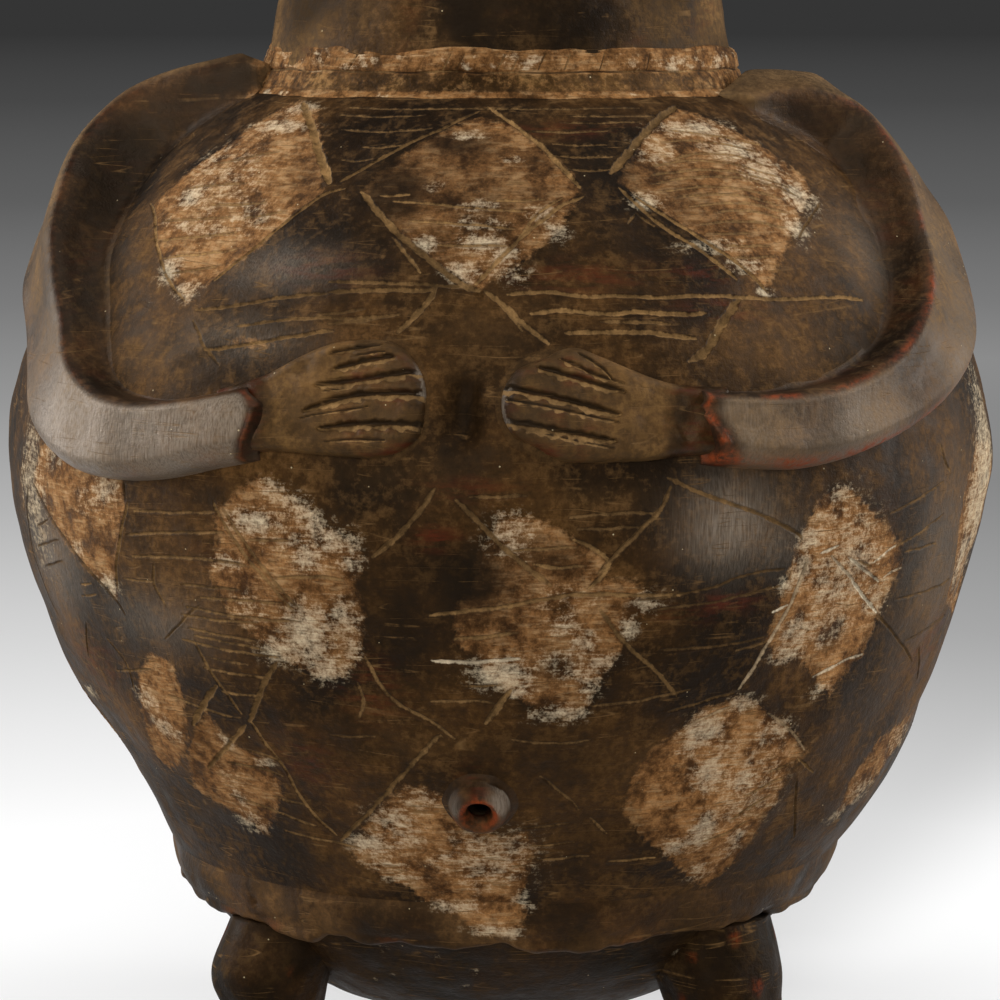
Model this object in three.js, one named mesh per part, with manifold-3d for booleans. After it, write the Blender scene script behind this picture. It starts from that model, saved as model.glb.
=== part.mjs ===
// A ceremonial vessel of low-fired clay in the shape of a stout figure.
// A coil-built belly stands over a pressed base bowl on three stub legs.
// Arms, hands and a pierced navel are applied to the wall, and a neck with an everted lip tops it.
// Millimetres, +Z up, the figure faces -Y, and the ground is z = 0 below the vessel's middle.
import * as THREE from 'three';
import { mergeVertices } from 'three/addons/utils/BufferGeometryUtils.js';
import Module from 'manifold-3d';

const wasm = await Module();
wasm.setup();

// Joints between luted pieces: the slip between them, and how deep a blank reaches before it is cut
const SLIP_GAP = 0.3;
const BEDDING = 3;
// Thickness left where applied clay is smeared out on to the wall
const SMEAR = 1.2;

// Walls and heights
const BODY_WALL = 9;
const BOWL_WALL = 9;
const NECK_WALL = 9;
const LEG_HEIGHT = 66;
const BODY_HEIGHT = 265;
const EQUATOR_RISE = 146;
const BOWL_DEPTH = 42;

// Radii of the outer wall
const BELLY_RADIUS = 166;
const JOINT_RADIUS = 106;
const SHOULDER_RADIUS = 84;
const BOWL_FLAT_RADIUS = 34;

// How full the curves of the wall are
const LOWER_POWER = 1.65;
const SHOULDER_POWER = 1.8;
const SHOULDER_FULLNESS = 0.8;
const BOWL_FULLNESS = 0.62;

// The globe swells to the figure's left a little above its base
const SWELL = 5;
const SWELL_HEIGHT = 103;
const SWELL_REACH = 26;

// The hand left low swells in the wall. Each wave is how many go round the pot, how far one climbs
// and where it starts, and all of them fade out at the belt and the shoulder.
const UNEVEN_HEIGHT = 0.36;
const UNEVEN_WAVES = [[11, 74, 0.4], [-12, 58, 2.1], [7, -90, 4.4], [-9, 96, 5.2]];
const UNEVEN_FADE = 20;

// Belt of clay over the joint of body and bowl
const BELT_THICKNESS = 4.5;
const BELT_ABOVE_JOINT = 13;
const BELT_BELOW_JOINT = 3;

// Neck, its collar and its lip
const NECK_HEIGHT = 122;
const NECK_FOOT_RADIUS = 79.5;
const NECK_WAIST_RADIUS = 68;
const NECK_WAIST_RISE = 86;
const NECK_MOUTH_RADIUS = 70;
const COLLAR_HEIGHT = 15;
const COLLAR_THICKNESS = 4;
const LIP_HEIGHT = 12;
const LIP_OVERHANG = 6;
// Shares up the collar and of its thickness there
const COLLAR_SHAPE = [[0, 0.9], [0.22, 1.15], [0.55, 1.25], [0.8, 1], [1, 0.7]];
// Shares across the lip, from its inner edge, and up it
const LIP_SHAPE = [[0.9, 0.35], [1, 0.62], [0.85, 0.93], [0.63, 1], [0.27, 0.9], [0.07, 0.55]];

// Navel: a pierced boss on the lower belly
const NAVEL_AZIMUTH = -4.2;
const NAVEL_HEIGHT = 116.6;
const NAVEL_RADIUS = 11;
const NAVEL_HOLE_RADIUS = 3.7;
const NAVEL_PROUD = 7;

// Arms: azimuths in degrees from the front, and climb, the share of the body's height.
const ARM_FILLET = 4;
const CREST_ROUND = 3;
const OUTER_ROUND = 4;
const LEFT_CREST_HEIGHT = 24;
const RIGHT_CREST_HEIGHT = 18;
const LEFT_ROOT_HEIGHT = 14;
const RIGHT_ROOT_HEIGHT = 8;
const ELBOW_HEIGHT = 14;
const CUFF_HEIGHT = 11.5;
const ROOT_WIDTH = 15;
const FOREARM_WIDTH = 19.5;
const LEFT_UPPER_ARM_WIDTH = 30;
const RIGHT_UPPER_ARM_WIDTH = 34;
const LEFT_ARM = {
  inward: 1,
  rootHeight: LEFT_ROOT_HEIGHT,
  crestHeight: LEFT_CREST_HEIGHT,
  upperWidth: LEFT_UPPER_ARM_WIDTH,
  slant: 0.3,
  elbow: 0.62,
  places: [[-72, 1], [-81, 0.985], [-87, 0.955], [-87, 0.91], [-82, 0.86], [-74, 0.805],
    [-66, 0.75], [-60, 0.693], [-54.5, 0.643], [-47, 0.61], [-39, 0.608], [-31, 0.626], [-26, 0.64]],
};
const RIGHT_ARM = {
  inward: -1,
  rootHeight: RIGHT_ROOT_HEIGHT,
  crestHeight: RIGHT_CREST_HEIGHT,
  upperWidth: RIGHT_UPPER_ARM_WIDTH,
  slant: 0.1,
  elbow: 0.62,
  places: [[56, 1], [70, 0.982], [77, 0.966], [81, 0.94], [80, 0.905], [77, 0.868],
    [72.5, 0.822], [66.5, 0.77], [61, 0.723], [52.5, 0.676], [43, 0.64], [33, 0.623], [23.3, 0.634]],
};

// Hands: paddles with ridged fingers, and the fillet of clay pressed round the fingertips
const HAND_THICKNESS = 5.5;
const FINGER_RELIEF = 1.2;
const FINGER_COUNT = 5;
const FINGER_SQUARENESS = 2.6;
const FILLET_WIDTH = 5;
const FILLET_HEIGHT = 3.2;
const LEFT_HAND = {
  inward: 1, azimuth: -17, climb: 0.665, halfLength: 28, halfWidth: 16.5, wristReach: 30, tilt: 4,
};
const RIGHT_HAND = {
  inward: -1, azimuth: 11, climb: 0.661, halfLength: 30.5, halfWidth: 16.5, wristReach: 37, tilt: 4,
};

// Legs: each is a stack of level slices, from the foot up to the hip under the belt
const FOOT_RADIUS = 15;
const HIP_INSET = 17;
const LEFT_LEG = { azimuth: -51, stance: 94, kneeReach: 97, ankle: 14, knee: 19.6, hip: 20 };
const RIGHT_LEG = { azimuth: 50, stance: 104, kneeReach: 94, ankle: 18.5, knee: 20.8, hip: 21 };
const REAR_LEG = { azimuth: 180, stance: 98, kneeReach: 93, ankle: 17, knee: 20.5, hip: 21 };

// Facets
const ROUND_STEPS = 48;
const BODY_ROWS = 18;
const ROW_CROWDING = 1.25;
const INNER_ROWS = 12;
const ARM_STEPS = 13;
const FOREARM_STEPS = 8;

// Heights worked out from the sizes above
const jointZ = LEG_HEIGHT;
const equatorZ = jointZ + EQUATOR_RISE;
const shoulderZ = jointZ + BODY_HEIGHT;
const legTopZ = jointZ - BELT_BELOW_JOINT - SLIP_GAP;
const neckZ = shoulderZ + SLIP_GAP;
const lipZ = neckZ + NECK_HEIGHT + SLIP_GAP;
const radians = THREE.MathUtils.degToRad;
const lerp = THREE.MathUtils.lerp;
const smoothstep = THREE.MathUtils.smoothstep;

// The outer wall of the belly: fullest at the equator, nearly straight below it, domed above.
function bodyRadius(z) {
  if (z <= equatorZ) {
    const down = (equatorZ - z) / EQUATOR_RISE;
    return BELLY_RADIUS - (BELLY_RADIUS - JOINT_RADIUS) * down ** LOWER_POWER;
  }
  const up = Math.min((z - equatorZ) / (shoulderZ - equatorZ), 1);
  const share = (1 - up ** SHOULDER_POWER) ** SHOULDER_FULLNESS;
  return SHOULDER_RADIUS + (BELLY_RADIUS - SHOULDER_RADIUS) * share;
}

function swellAt(z) {
  return SWELL * Math.exp(-(((z - SWELL_HEIGHT) / SWELL_REACH) ** 2));
}

// How fast the radius grows with height.
function bodySlope(z) {
  const step = EQUATOR_RISE / 300;
  const low = Math.max(z - step, jointZ);
  const high = Math.min(z + step, shoulderZ);
  return (bodyRadius(high) - bodyRadius(low)) / (high - low);
}

// How far the hand-made wall stands proud of the smooth one.
function unevenAt(azimuth, z) {
  const above = z - jointZ - BELT_ABOVE_JOINT;
  const calm = THREE.MathUtils.clamp(Math.min(above, shoulderZ - z) / UNEVEN_FADE, 0, 1);
  let sum = 0;
  for (const [round, climb, start] of UNEVEN_WAVES) {
    sum += Math.sin(round * radians(azimuth) + (2 * Math.PI * z) / climb + start);
  }
  return UNEVEN_HEIGHT * calm * sum;
}

// A point beside the smooth wall, along the wall's own normal.
function besideBody(azimuth, z, raised) {
  const slope = bodySlope(z);
  const length = Math.hypot(1, slope);
  const reach = bodyRadius(z) + raised / length;
  const turn = radians(azimuth);
  return new THREE.Vector3(
    swellAt(z) + reach * Math.sin(turn),
    -reach * Math.cos(turn),
    z - (raised * slope) / length,
  );
}

// A point on the hand-made wall, or raised above it.
function onBody(azimuth, z, raised = 0) {
  return besideBody(azimuth, z, raised + unevenAt(azimuth, z));
}

// Moves a place on the wall by so many millimetres east and up along the wall.
function shiftOnBody(azimuth, z, east, up) {
  const newZ = z + up / Math.hypot(1, bodySlope(z));
  return [azimuth + THREE.MathUtils.radToDeg(east / bodyRadius(z)), newZ];
}

// Closed solids as indexed geometry, turned so that their faces point out.
function closedSolid(points, triangles) {
  let volume = 0;
  for (const [a, b, c] of triangles) {
    volume += points[a].dot(new THREE.Vector3().crossVectors(points[b], points[c]));
  }
  const facing = triangles.map(([a, b, c]) => (volume < 0 ? [a, c, b] : [a, b, c]));
  const geometry = new THREE.BufferGeometry();
  geometry.setAttribute('position',
    new THREE.Float32BufferAttribute(points.flatMap((p) => [p.x, p.y, p.z]), 3));
  geometry.setIndex(facing.flat());
  return geometry;
}

// Skins a row of rings that have equal numbers of points, and closes both ends with a fan.
function loft(rings) {
  const points = rings.flat();
  const count = rings[0].length;
  const triangles = [];
  for (let ring = 0; ring < rings.length - 1; ring += 1) {
    for (let i = 0; i < count; i += 1) {
      const next = (i + 1) % count;
      const a = ring * count + i;
      const b = ring * count + next;
      triangles.push([a, b, b + count], [a, b + count, a + count]);
    }
  }
  const middle = (ring) => ring.reduce((sum, p) => sum.add(p), new THREE.Vector3())
    .divideScalar(count);
  const first = points.push(middle(rings[0])) - 1;
  const last = points.push(middle(rings[rings.length - 1])) - 1;
  const base = (rings.length - 1) * count;
  for (let i = 0; i < count; i += 1) {
    const next = (i + 1) % count;
    triangles.push([next, i, first], [base + i, base + next, last]);
  }
  return closedSolid(points, triangles);
}

// Turns a closed profile of [radius, height] pairs about the vertical axis. Settle then moves
// each point to where the hand left it.
function turned(profile, settle = () => {}) {
  const outline = profile.map(([r, z]) => new THREE.Vector2(r, z));
  const onAxis = profile[0][0] === 0 && profile[profile.length - 1][0] === 0;
  if (!onAxis) outline.push(outline[0].clone());
  const geometry = new THREE.LatheGeometry(outline, ROUND_STEPS);
  geometry.rotateX(Math.PI / 2);
  const place = geometry.attributes.position;
  const point = new THREE.Vector3();
  for (let i = 0; i < place.count; i += 1) {
    point.fromBufferAttribute(place, i);
    settle(point);
    place.setXYZ(i, point.x, point.y, point.z);
  }
  return geometry;
}

function settleBelt(point) {
  point.x += swellAt(point.z);
}

// The outer face of the wall is uneven, and the inner one is scraped even.
function settleWall(point) {
  const reach = Math.hypot(point.x, point.y);
  if (reach > bodyRadius(point.z) - BODY_WALL / 2) {
    const slope = bodySlope(point.z);
    const azimuth = THREE.MathUtils.radToDeg(Math.atan2(point.x, -point.y));
    const proud = unevenAt(azimuth, point.z) / Math.hypot(1, slope);
    point.x += (proud * point.x) / reach;
    point.y += (proud * point.y) / reach;
    point.z -= proud * slope;
  }
  point.x += swellAt(point.z);
}

// Booleans: closed geometry in, closed geometry out.
function toSolid(geometry) {
  const bare = geometry.clone();
  bare.deleteAttribute('normal');
  bare.deleteAttribute('uv');
  const merged = mergeVertices(bare, 1e-4);
  const index = [];
  const all = merged.index.array;
  for (let i = 0; i < all.length; i += 3) {
    const [a, b, c] = [all[i], all[i + 1], all[i + 2]];
    if (a !== b && b !== c && a !== c) index.push(a, b, c);
  }
  return new wasm.Manifold(new wasm.Mesh({
    numProp: 3,
    vertProperties: new Float32Array(merged.attributes.position.array),
    triVerts: new Uint32Array(index),
  }));
}

function fromSolid(solid) {
  const mesh = solid.getMesh();
  const geometry = new THREE.BufferGeometry();
  geometry.setAttribute('position', new THREE.Float32BufferAttribute(mesh.vertProperties, 3));
  geometry.setIndex(new THREE.Uint32BufferAttribute(mesh.triVerts, 1));
  return geometry;
}

function cut(geometry, ...cutters) {
  let solid = toSolid(geometry);
  for (const cutter of cutters) solid = solid.subtract(toSolid(cutter));
  return fromSolid(solid);
}

// Profiles of the turned pieces. Each takes a growth, so that it can also cut its neighbours.
function bodyProfile(grow = 0) {
  const profile = [];
  for (let row = 0; row <= BODY_ROWS; row += 1) {
    const z = lerp(jointZ, shoulderZ, 1 - (1 - row / BODY_ROWS) ** ROW_CROWDING);
    const p = besideBody(90, z, grow);
    profile.push([p.x - swellAt(z), p.z]);
  }
  return profile;
}

function bellyGeometry() {
  const outside = bodyProfile();
  const inside = [];
  for (let row = 0; row <= INNER_ROWS; row += 1) {
    const z = lerp(shoulderZ, jointZ, row / INNER_ROWS);
    const p = besideBody(90, z, -BODY_WALL);
    inside.push([p.x - swellAt(z), THREE.MathUtils.clamp(p.z, jointZ, shoulderZ)]);
  }
  inside[0] = [SHOULDER_RADIUS - BODY_WALL, shoulderZ];
  inside[1][1] = Math.min(inside[1][1], shoulderZ - BODY_WALL);
  inside[INNER_ROWS] = [JOINT_RADIUS - BODY_WALL, jointZ];
  return turned([...outside, ...inside], settleWall);
}

// Fills the whole inside of the wall as well, for cutting what is pressed on to it.
function bodyCutter() {
  const profile = bodyProfile(SLIP_GAP);
  const low = profile[0][1] - BODY_WALL;
  const top = profile[BODY_ROWS][1];
  return turned([[0, low], [profile[0][0], low], ...profile, [0, top]], settleWall);
}

const bowlRimRadius = JOINT_RADIUS - SLIP_GAP;
function bowlOutside(grow = 0) {
  const bottom = jointZ - SLIP_GAP - BOWL_DEPTH;
  const profile = [[0, bottom - grow], [BOWL_FLAT_RADIUS, bottom - grow]];
  const steps = 6;
  for (let i = 1; i <= steps; i += 1) {
    const share = i / steps;
    const r = lerp(BOWL_FLAT_RADIUS, bowlRimRadius, share ** BOWL_FULLNESS);
    profile.push([r + grow, bottom + BOWL_DEPTH * share ** 1.35]);
  }
  return profile;
}

function bowlGeometry() {
  const outside = bowlOutside();
  const rimZ = jointZ - SLIP_GAP;
  const inside = outside.slice(2, -1).reverse()
    .map(([r, z]) => [r - BOWL_WALL, Math.min(z + BOWL_WALL * 0.6, rimZ)]);
  const floor = outside[0][1] + BOWL_WALL;
  return turned([...outside, [bowlRimRadius - BOWL_WALL, rimZ], ...inside, [0, floor]]);
}

function bowlCutter() {
  const profile = bowlOutside(SLIP_GAP);
  const top = jointZ + BELT_ABOVE_JOINT;
  return turned([...profile, [bowlRimRadius + SLIP_GAP, top], [0, top]]);
}

// The belt hugs the wall above the joint and hangs a skirt below it.
function beltProfile() {
  const top = jointZ + BELT_ABOVE_JOINT;
  const middle = jointZ + BELT_ABOVE_JOINT / 2;
  const skirt = jointZ - BELT_BELOW_JOINT;
  return [
    [JOINT_RADIUS + SLIP_GAP, skirt],
    [JOINT_RADIUS + BELT_THICKNESS * 0.6, skirt],
    [JOINT_RADIUS + BELT_THICKNESS, jointZ],
    [bodyRadius(middle) + BELT_THICKNESS * 0.8, middle],
    [bodyRadius(top) + SLIP_GAP + SMEAR, top],
    [bodyRadius(top) + SLIP_GAP, top],
    [bodyRadius(middle) + SLIP_GAP, middle],
    [JOINT_RADIUS + SLIP_GAP, jointZ],
  ];
}

// Neck, collar and lip share the neck's own outline.
const neckCurve = new THREE.SplineCurve([
  new THREE.Vector2(NECK_FOOT_RADIUS, 0),
  new THREE.Vector2(lerp(NECK_FOOT_RADIUS, NECK_WAIST_RADIUS, 0.6), NECK_WAIST_RISE * 0.5),
  new THREE.Vector2(NECK_WAIST_RADIUS, NECK_WAIST_RISE),
  new THREE.Vector2(NECK_MOUTH_RADIUS, NECK_HEIGHT),
]);

function neckRadius(rise) {
  const samples = neckCurve.getPoints(40);
  const next = Math.max(samples.findIndex((p) => p.y >= rise), 1);
  const [below, above] = [samples[next - 1], samples[next]];
  return lerp(below.x, above.x, (rise - below.y) / (above.y - below.y));
}

function neckGeometry() {
  const outside = neckCurve.getPoints(6).map((p) => [p.x, neckZ + p.y]);
  const inside = neckCurve.getPoints(3).reverse().map((p) => [p.x - NECK_WALL, neckZ + p.y]);
  return turned([...outside, ...inside]);
}

function collarProfile(grow = 0) {
  const low = shoulderZ + SLIP_GAP - grow;
  const outside = COLLAR_SHAPE.map(([share, bulge]) => [
    neckRadius(COLLAR_HEIGHT * share) + SLIP_GAP + COLLAR_THICKNESS * bulge + grow,
    lerp(low, neckZ + COLLAR_HEIGHT + grow, share),
  ]);
  const inner = neckRadius(COLLAR_HEIGHT) + SLIP_GAP - grow;
  return [...outside, [inner, neckZ + COLLAR_HEIGHT + grow],
    [NECK_FOOT_RADIUS + SLIP_GAP - grow, low]];
}

function lipGeometry() {
  const inner = NECK_MOUTH_RADIUS - NECK_WALL;
  const outer = NECK_MOUTH_RADIUS + LIP_OVERHANG;
  return turned([
    [inner, lipZ],
    [NECK_MOUTH_RADIUS, lipZ],
    ...LIP_SHAPE.map(([across, up]) => [lerp(inner, outer, across), lipZ + LIP_HEIGHT * up]),
  ]);
}

// A straight bore along Y through the navel and the wall behind it.
const navelPlace = onBody(NAVEL_AZIMUTH, NAVEL_HEIGHT);
function navelBore() {
  const length = 2 * (BODY_WALL + NAVEL_PROUD + NAVEL_RADIUS);
  const bore = new THREE.CylinderGeometry(NAVEL_HOLE_RADIUS, NAVEL_HOLE_RADIUS, length, 16);
  bore.translate(navelPlace.x, 0, 0);
  bore.translate(0, navelPlace.y, navelPlace.z);
  return bore;
}

function navelGeometry() {
  const outline = [
    [0, -BEDDING],
    [NAVEL_RADIUS, -BEDDING],
    [NAVEL_RADIUS, NAVEL_PROUD * 0.25],
    [NAVEL_RADIUS * 0.9, NAVEL_PROUD * 0.7],
    [NAVEL_RADIUS * 0.66, NAVEL_PROUD],
    [NAVEL_HOLE_RADIUS, NAVEL_PROUD * 0.9],
    [0, NAVEL_PROUD * 0.9],
  ].map(([r, y]) => new THREE.Vector2(r, y));
  const boss = new THREE.LatheGeometry(outline, 20);
  const outward = onBody(NAVEL_AZIMUTH, NAVEL_HEIGHT, 1).sub(navelPlace);
  boss.applyQuaternion(new THREE.Quaternion().setFromUnitVectors(
    new THREE.Vector3(0, 1, 0), outward.normalize()));
  boss.translate(navelPlace.x, navelPlace.y, navelPlace.z);
  return boss;
}

// The middle line of an arm, its width and its height along its length.
function armCurve(arm) {
  return new THREE.SplineCurve(arm.places.map(([a, climb]) => new THREE.Vector2(a, climb)));
}

function armWidth(arm, along) {
  const upper = lerp(ROOT_WIDTH, arm.upperWidth, smoothstep(along, 0, 0.3));
  return lerp(upper, FOREARM_WIDTH, smoothstep(along, 0.55, 0.86));
}

function armHeight(arm, along) {
  const crest = lerp(arm.rootHeight, arm.crestHeight, smoothstep(along, 0, 0.2));
  const elbow = lerp(crest, ELBOW_HEIGHT, smoothstep(along, 0.3, 0.6));
  return lerp(elbow, CUFF_HEIGHT, smoothstep(along, 0.75, 1));
}

// One slice across an arm, from the foot of its inner wall over the crest to its outer foot.
function armSlice(arm, along, grow) {
  const curve = armCurve(arm);
  const ahead = curve.getPoint(Math.min(along + 0.01, 1));
  const behind = curve.getPoint(Math.max(along - 0.01, 0));
  const place = curve.getPoint(along);
  const z = lerp(jointZ, shoulderZ, place.y);
  const east = radians(ahead.x - behind.x) * bodyRadius(z);
  const lift = onBody(0, lerp(jointZ, shoulderZ, ahead.y))
    .distanceTo(onBody(0, lerp(jointZ, shoulderZ, behind.y))) * Math.sign(ahead.y - behind.y);
  const run = Math.hypot(east, lift);
  const across = [-lift / run * arm.inward, east / run * arm.inward];
  const half = armWidth(arm, along) / 2 + grow;
  const tall = armHeight(arm, along) + grow;
  const outer = tall * (1 - arm.slant * (1 - smoothstep(along, 0.5, 0.75)));
  const section = [
    [half + ARM_FILLET, -BEDDING],
    [half + ARM_FILLET, SMEAR],
    [half + ARM_FILLET * 0.25, tall * 0.45],
    [half - CREST_ROUND * 0.2, tall * 0.9],
    [half - CREST_ROUND, tall],
    [half / 3, tall * 0.97],
    [-half / 3, (tall + outer) * 0.47],
    [OUTER_ROUND - half, outer * 0.98],
    [OUTER_ROUND * 0.1 - half, outer * 0.78],
    [-half - OUTER_ROUND * 0.25, outer * 0.4],
    [-half - OUTER_ROUND * 0.35, -BEDDING],
  ];
  return section.map(([side, raised]) => {
    const [a, newZ] = shiftOnBody(place.x, z, across[0] * side, across[1] * side);
    return onBody(a, Math.min(newZ, shoulderZ), raised);
  });
}

function armGeometry(arm, from, to, steps, grow = 0) {
  const rings = [];
  for (let i = 0; i <= steps; i += 1) rings.push(armSlice(arm, lerp(from, to, i / steps), grow));
  return loft(rings);
}

// Half of the joint between upper arm and forearm, as a share of the arm's length.
function jointShare(arm) {
  const curve = armCurve(arm);
  let length = 0;
  let last = null;
  for (const p of curve.getPoints(60)) {
    const here = onBody(p.x, lerp(jointZ, shoulderZ, p.y));
    if (last) length += here.distanceTo(last);
    last = here;
  }
  return SLIP_GAP / length;
}

// A hand is a relief of columns along it and rows across it, with ridged fingers.
function handPlace(hand, x, y) {
  const tilt = radians(hand.tilt);
  const east = (x * Math.cos(tilt) - y * Math.sin(tilt)) * hand.inward;
  const up = x * Math.sin(tilt) + y * Math.cos(tilt);
  const z = lerp(jointZ, shoulderZ, hand.climb);
  return shiftOnBody(hand.azimuth, z, east, up);
}

function handHalfWidth(hand, share) {
  return hand.halfWidth * (1 - Math.abs(share) ** FINGER_SQUARENESS) ** (1 / FINGER_SQUARENESS);
}

function handGeometry(hand, grow = 0) {
  const columns = 9;
  const rows = FINGER_COUNT * 4;
  const grown = { ...hand, halfWidth: hand.halfWidth + grow };
  const top = [];
  const bed = [];
  for (let i = 0; i <= columns; i += 1) {
    const share = lerp(-0.93, 0.985, i / columns);
    const reach = (share < 0 ? hand.wristReach : hand.halfLength) + grow;
    for (let j = 0; j <= rows; j += 1) {
      const across = (2 * j) / rows - 1;
      const [a, z] = handPlace(hand, share * reach, across * handHalfWidth(grown, share));
      const finger = Math.abs(Math.sin((FINGER_COUNT * Math.PI * (across + 1)) / 2)) - 0.6;
      const ridge = FINGER_RELIEF * finger * smoothstep(share, -0.3, 0.25);
      const edge = 1 - 0.35 * Math.abs(across) ** 8;
      top.push(onBody(a, z, HAND_THICKNESS * edge + ridge + grow));
      bed.push(onBody(a, z, -BEDDING));
    }
  }
  const at = (i, j) => i * (rows + 1) + j;
  const points = [...top, ...bed];
  const triangles = [];
  for (let i = 0; i < columns; i += 1) {
    for (let j = 0; j < rows; j += 1) {
      triangles.push([at(i, j), at(i + 1, j), at(i + 1, j + 1)]);
      triangles.push([at(i, j), at(i + 1, j + 1), at(i, j + 1)]);
    }
  }
  const rim = [];
  for (let i = 0; i < columns; i += 1) rim.push(at(i, 0));
  for (let j = 0; j < rows; j += 1) rim.push(at(columns, j));
  for (let i = columns; i > 0; i -= 1) rim.push(at(i, rows));
  for (let j = rows; j > 0; j -= 1) rim.push(at(0, j));
  const centre = points.push(onBody(hand.azimuth, lerp(jointZ, shoulderZ, hand.climb), -BEDDING)) - 1;
  const below = top.length;
  rim.forEach((here, k) => {
    const next = rim[(k + 1) % rim.length];
    triangles.push([next, here, here + below], [next, here + below, next + below]);
    triangles.push([next + below, here + below, centre]);
  });
  return closedSolid(points, triangles);
}

// The fillet follows the outline of the fingertips at its own half width from them.
function filletGeometry(hand) {
  const steps = 14;
  const half = FILLET_WIDTH / 2;
  const squash = 2 / FINGER_SQUARENESS;
  const outline = (turn, off) => {
    const c = Math.cos(turn);
    const s = Math.sin(turn);
    return [(hand.halfLength + off) * Math.sign(c) * Math.abs(c) ** squash,
      (hand.halfWidth + off) * Math.sign(s) * Math.abs(s) ** squash];
  };
  const rings = [];
  for (let i = 0; i <= steps; i += 1) {
    const turn = lerp(radians(-88), radians(88), i / steps);
    const taper = 0.45 + 0.55 * Math.sin((Math.PI * i) / steps) ** 0.5;
    rings.push([
      [SLIP_GAP - half, -BEDDING], [SLIP_GAP - half, FILLET_HEIGHT * taper * 0.7],
      [half, FILLET_HEIGHT * taper], [half * 1.6, FILLET_HEIGHT * taper * 0.85],
      [half * 2.2, SMEAR * 0.8], [half * 2.2, -BEDDING],
    ].map(([off, raised]) => {
      const [x, y] = outline(turn, off);
      const [a, z] = handPlace(hand, x, y);
      return onBody(a, z, raised);
    }));
  }
  return loft(rings);
}

// A leg is a stack of level rings from the ground up into the bowl.
function legGeometry(leg) {
  const sections = [
    [0, leg.stance, FOOT_RADIUS - 2], [0.06, leg.stance, FOOT_RADIUS],
    [0.28, leg.stance, leg.ankle], [0.5, lerp(leg.stance, leg.kneeReach, 0.7), (leg.ankle + leg.knee) / 2],
    [0.72, leg.kneeReach, leg.knee], [1, JOINT_RADIUS - HIP_INSET, leg.hip],
  ];
  const heights = new THREE.SplineCurve(sections.map(([share, , r]) => new THREE.Vector2(share, r)));
  const reaches = new THREE.SplineCurve(sections.map(([share, out]) => new THREE.Vector2(share, out)));
  const rings = [];
  const levels = 9;
  const sides = 14;
  const turn = radians(leg.azimuth);
  for (let i = 0; i <= levels; i += 1) {
    const { x: share, y: radius } = heights.getPoint(i / levels);
    const out = reaches.getPoint(i / levels).y;
    const ring = [];
    for (let k = 0; k < sides; k += 1) {
      const angle = (2 * Math.PI * k) / sides;
      ring.push(new THREE.Vector3(
        out * Math.sin(turn) + radius * Math.cos(angle),
        -out * Math.cos(turn) + radius * Math.sin(angle),
        THREE.MathUtils.clamp(share, 0, 1) * legTopZ,
      ));
    }
    rings.push(ring);
  }
  return loft(rings);
}

// Finishes of the fired clay
const smokedClay = { color: 0x35281d, roughness: 0.55, metalness: 0 };
const burnishedClay = { color: 0x3a2d24, roughness: 0.38, metalness: 0 };
const pigmentedClay = { color: 0x8c745a, roughness: 0.8, metalness: 0 };

const vessel = new THREE.Group();
function add(name, geometry, finish) {
  const mesh = new THREE.Mesh(geometry, new THREE.MeshStandardMaterial(finish));
  mesh.name = name;
  vessel.add(mesh);
}

const wallCutter = bodyCutter();
const underCutter = bowlCutter();
const collarCutter = turned(collarProfile(SLIP_GAP));
const bore = navelBore();

add('belly', cut(bellyGeometry(), bore), smokedClay);
add('base_bowl', bowlGeometry(), smokedClay);
add('base_belt', cut(turned(beltProfile(), settleBelt), wallCutter, underCutter), smokedClay);
add('neck', neckGeometry(), smokedClay);
add('neck_collar', turned(collarProfile()), pigmentedClay);
add('mouth_lip', lipGeometry(), smokedClay);
add('navel_boss', cut(navelGeometry(), wallCutter, bore), burnishedClay);

for (const [side, arm, hand] of [['left', LEFT_ARM, LEFT_HAND], ['right', RIGHT_ARM, RIGHT_HAND]]) {
  const joint = jointShare(arm);
  const upper = armGeometry(arm, 0, arm.elbow - joint / 2, ARM_STEPS);
  const fore = armGeometry(arm, arm.elbow + joint / 2, 1, FOREARM_STEPS);
  const foreCutter = armGeometry(arm, arm.elbow, 1 + joint, FOREARM_STEPS, SLIP_GAP);
  add(`${side}_upper_arm`, cut(upper, wallCutter, collarCutter), burnishedClay);
  add(`${side}_forearm`, cut(fore, wallCutter), burnishedClay);
  add(`${side}_hand`, cut(handGeometry(hand), wallCutter, foreCutter), smokedClay);
  add(`${side}_fingertip_fillet`,
    cut(filletGeometry(hand), wallCutter, handGeometry(hand, SLIP_GAP), foreCutter), smokedClay);
}

for (const [name, leg] of [['left_leg', LEFT_LEG], ['right_leg', RIGHT_LEG], ['rear_leg', REAR_LEG]]) {
  add(name, cut(legGeometry(leg), underCutter), smokedClay);
}

export default vessel;
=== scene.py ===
import math

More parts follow.
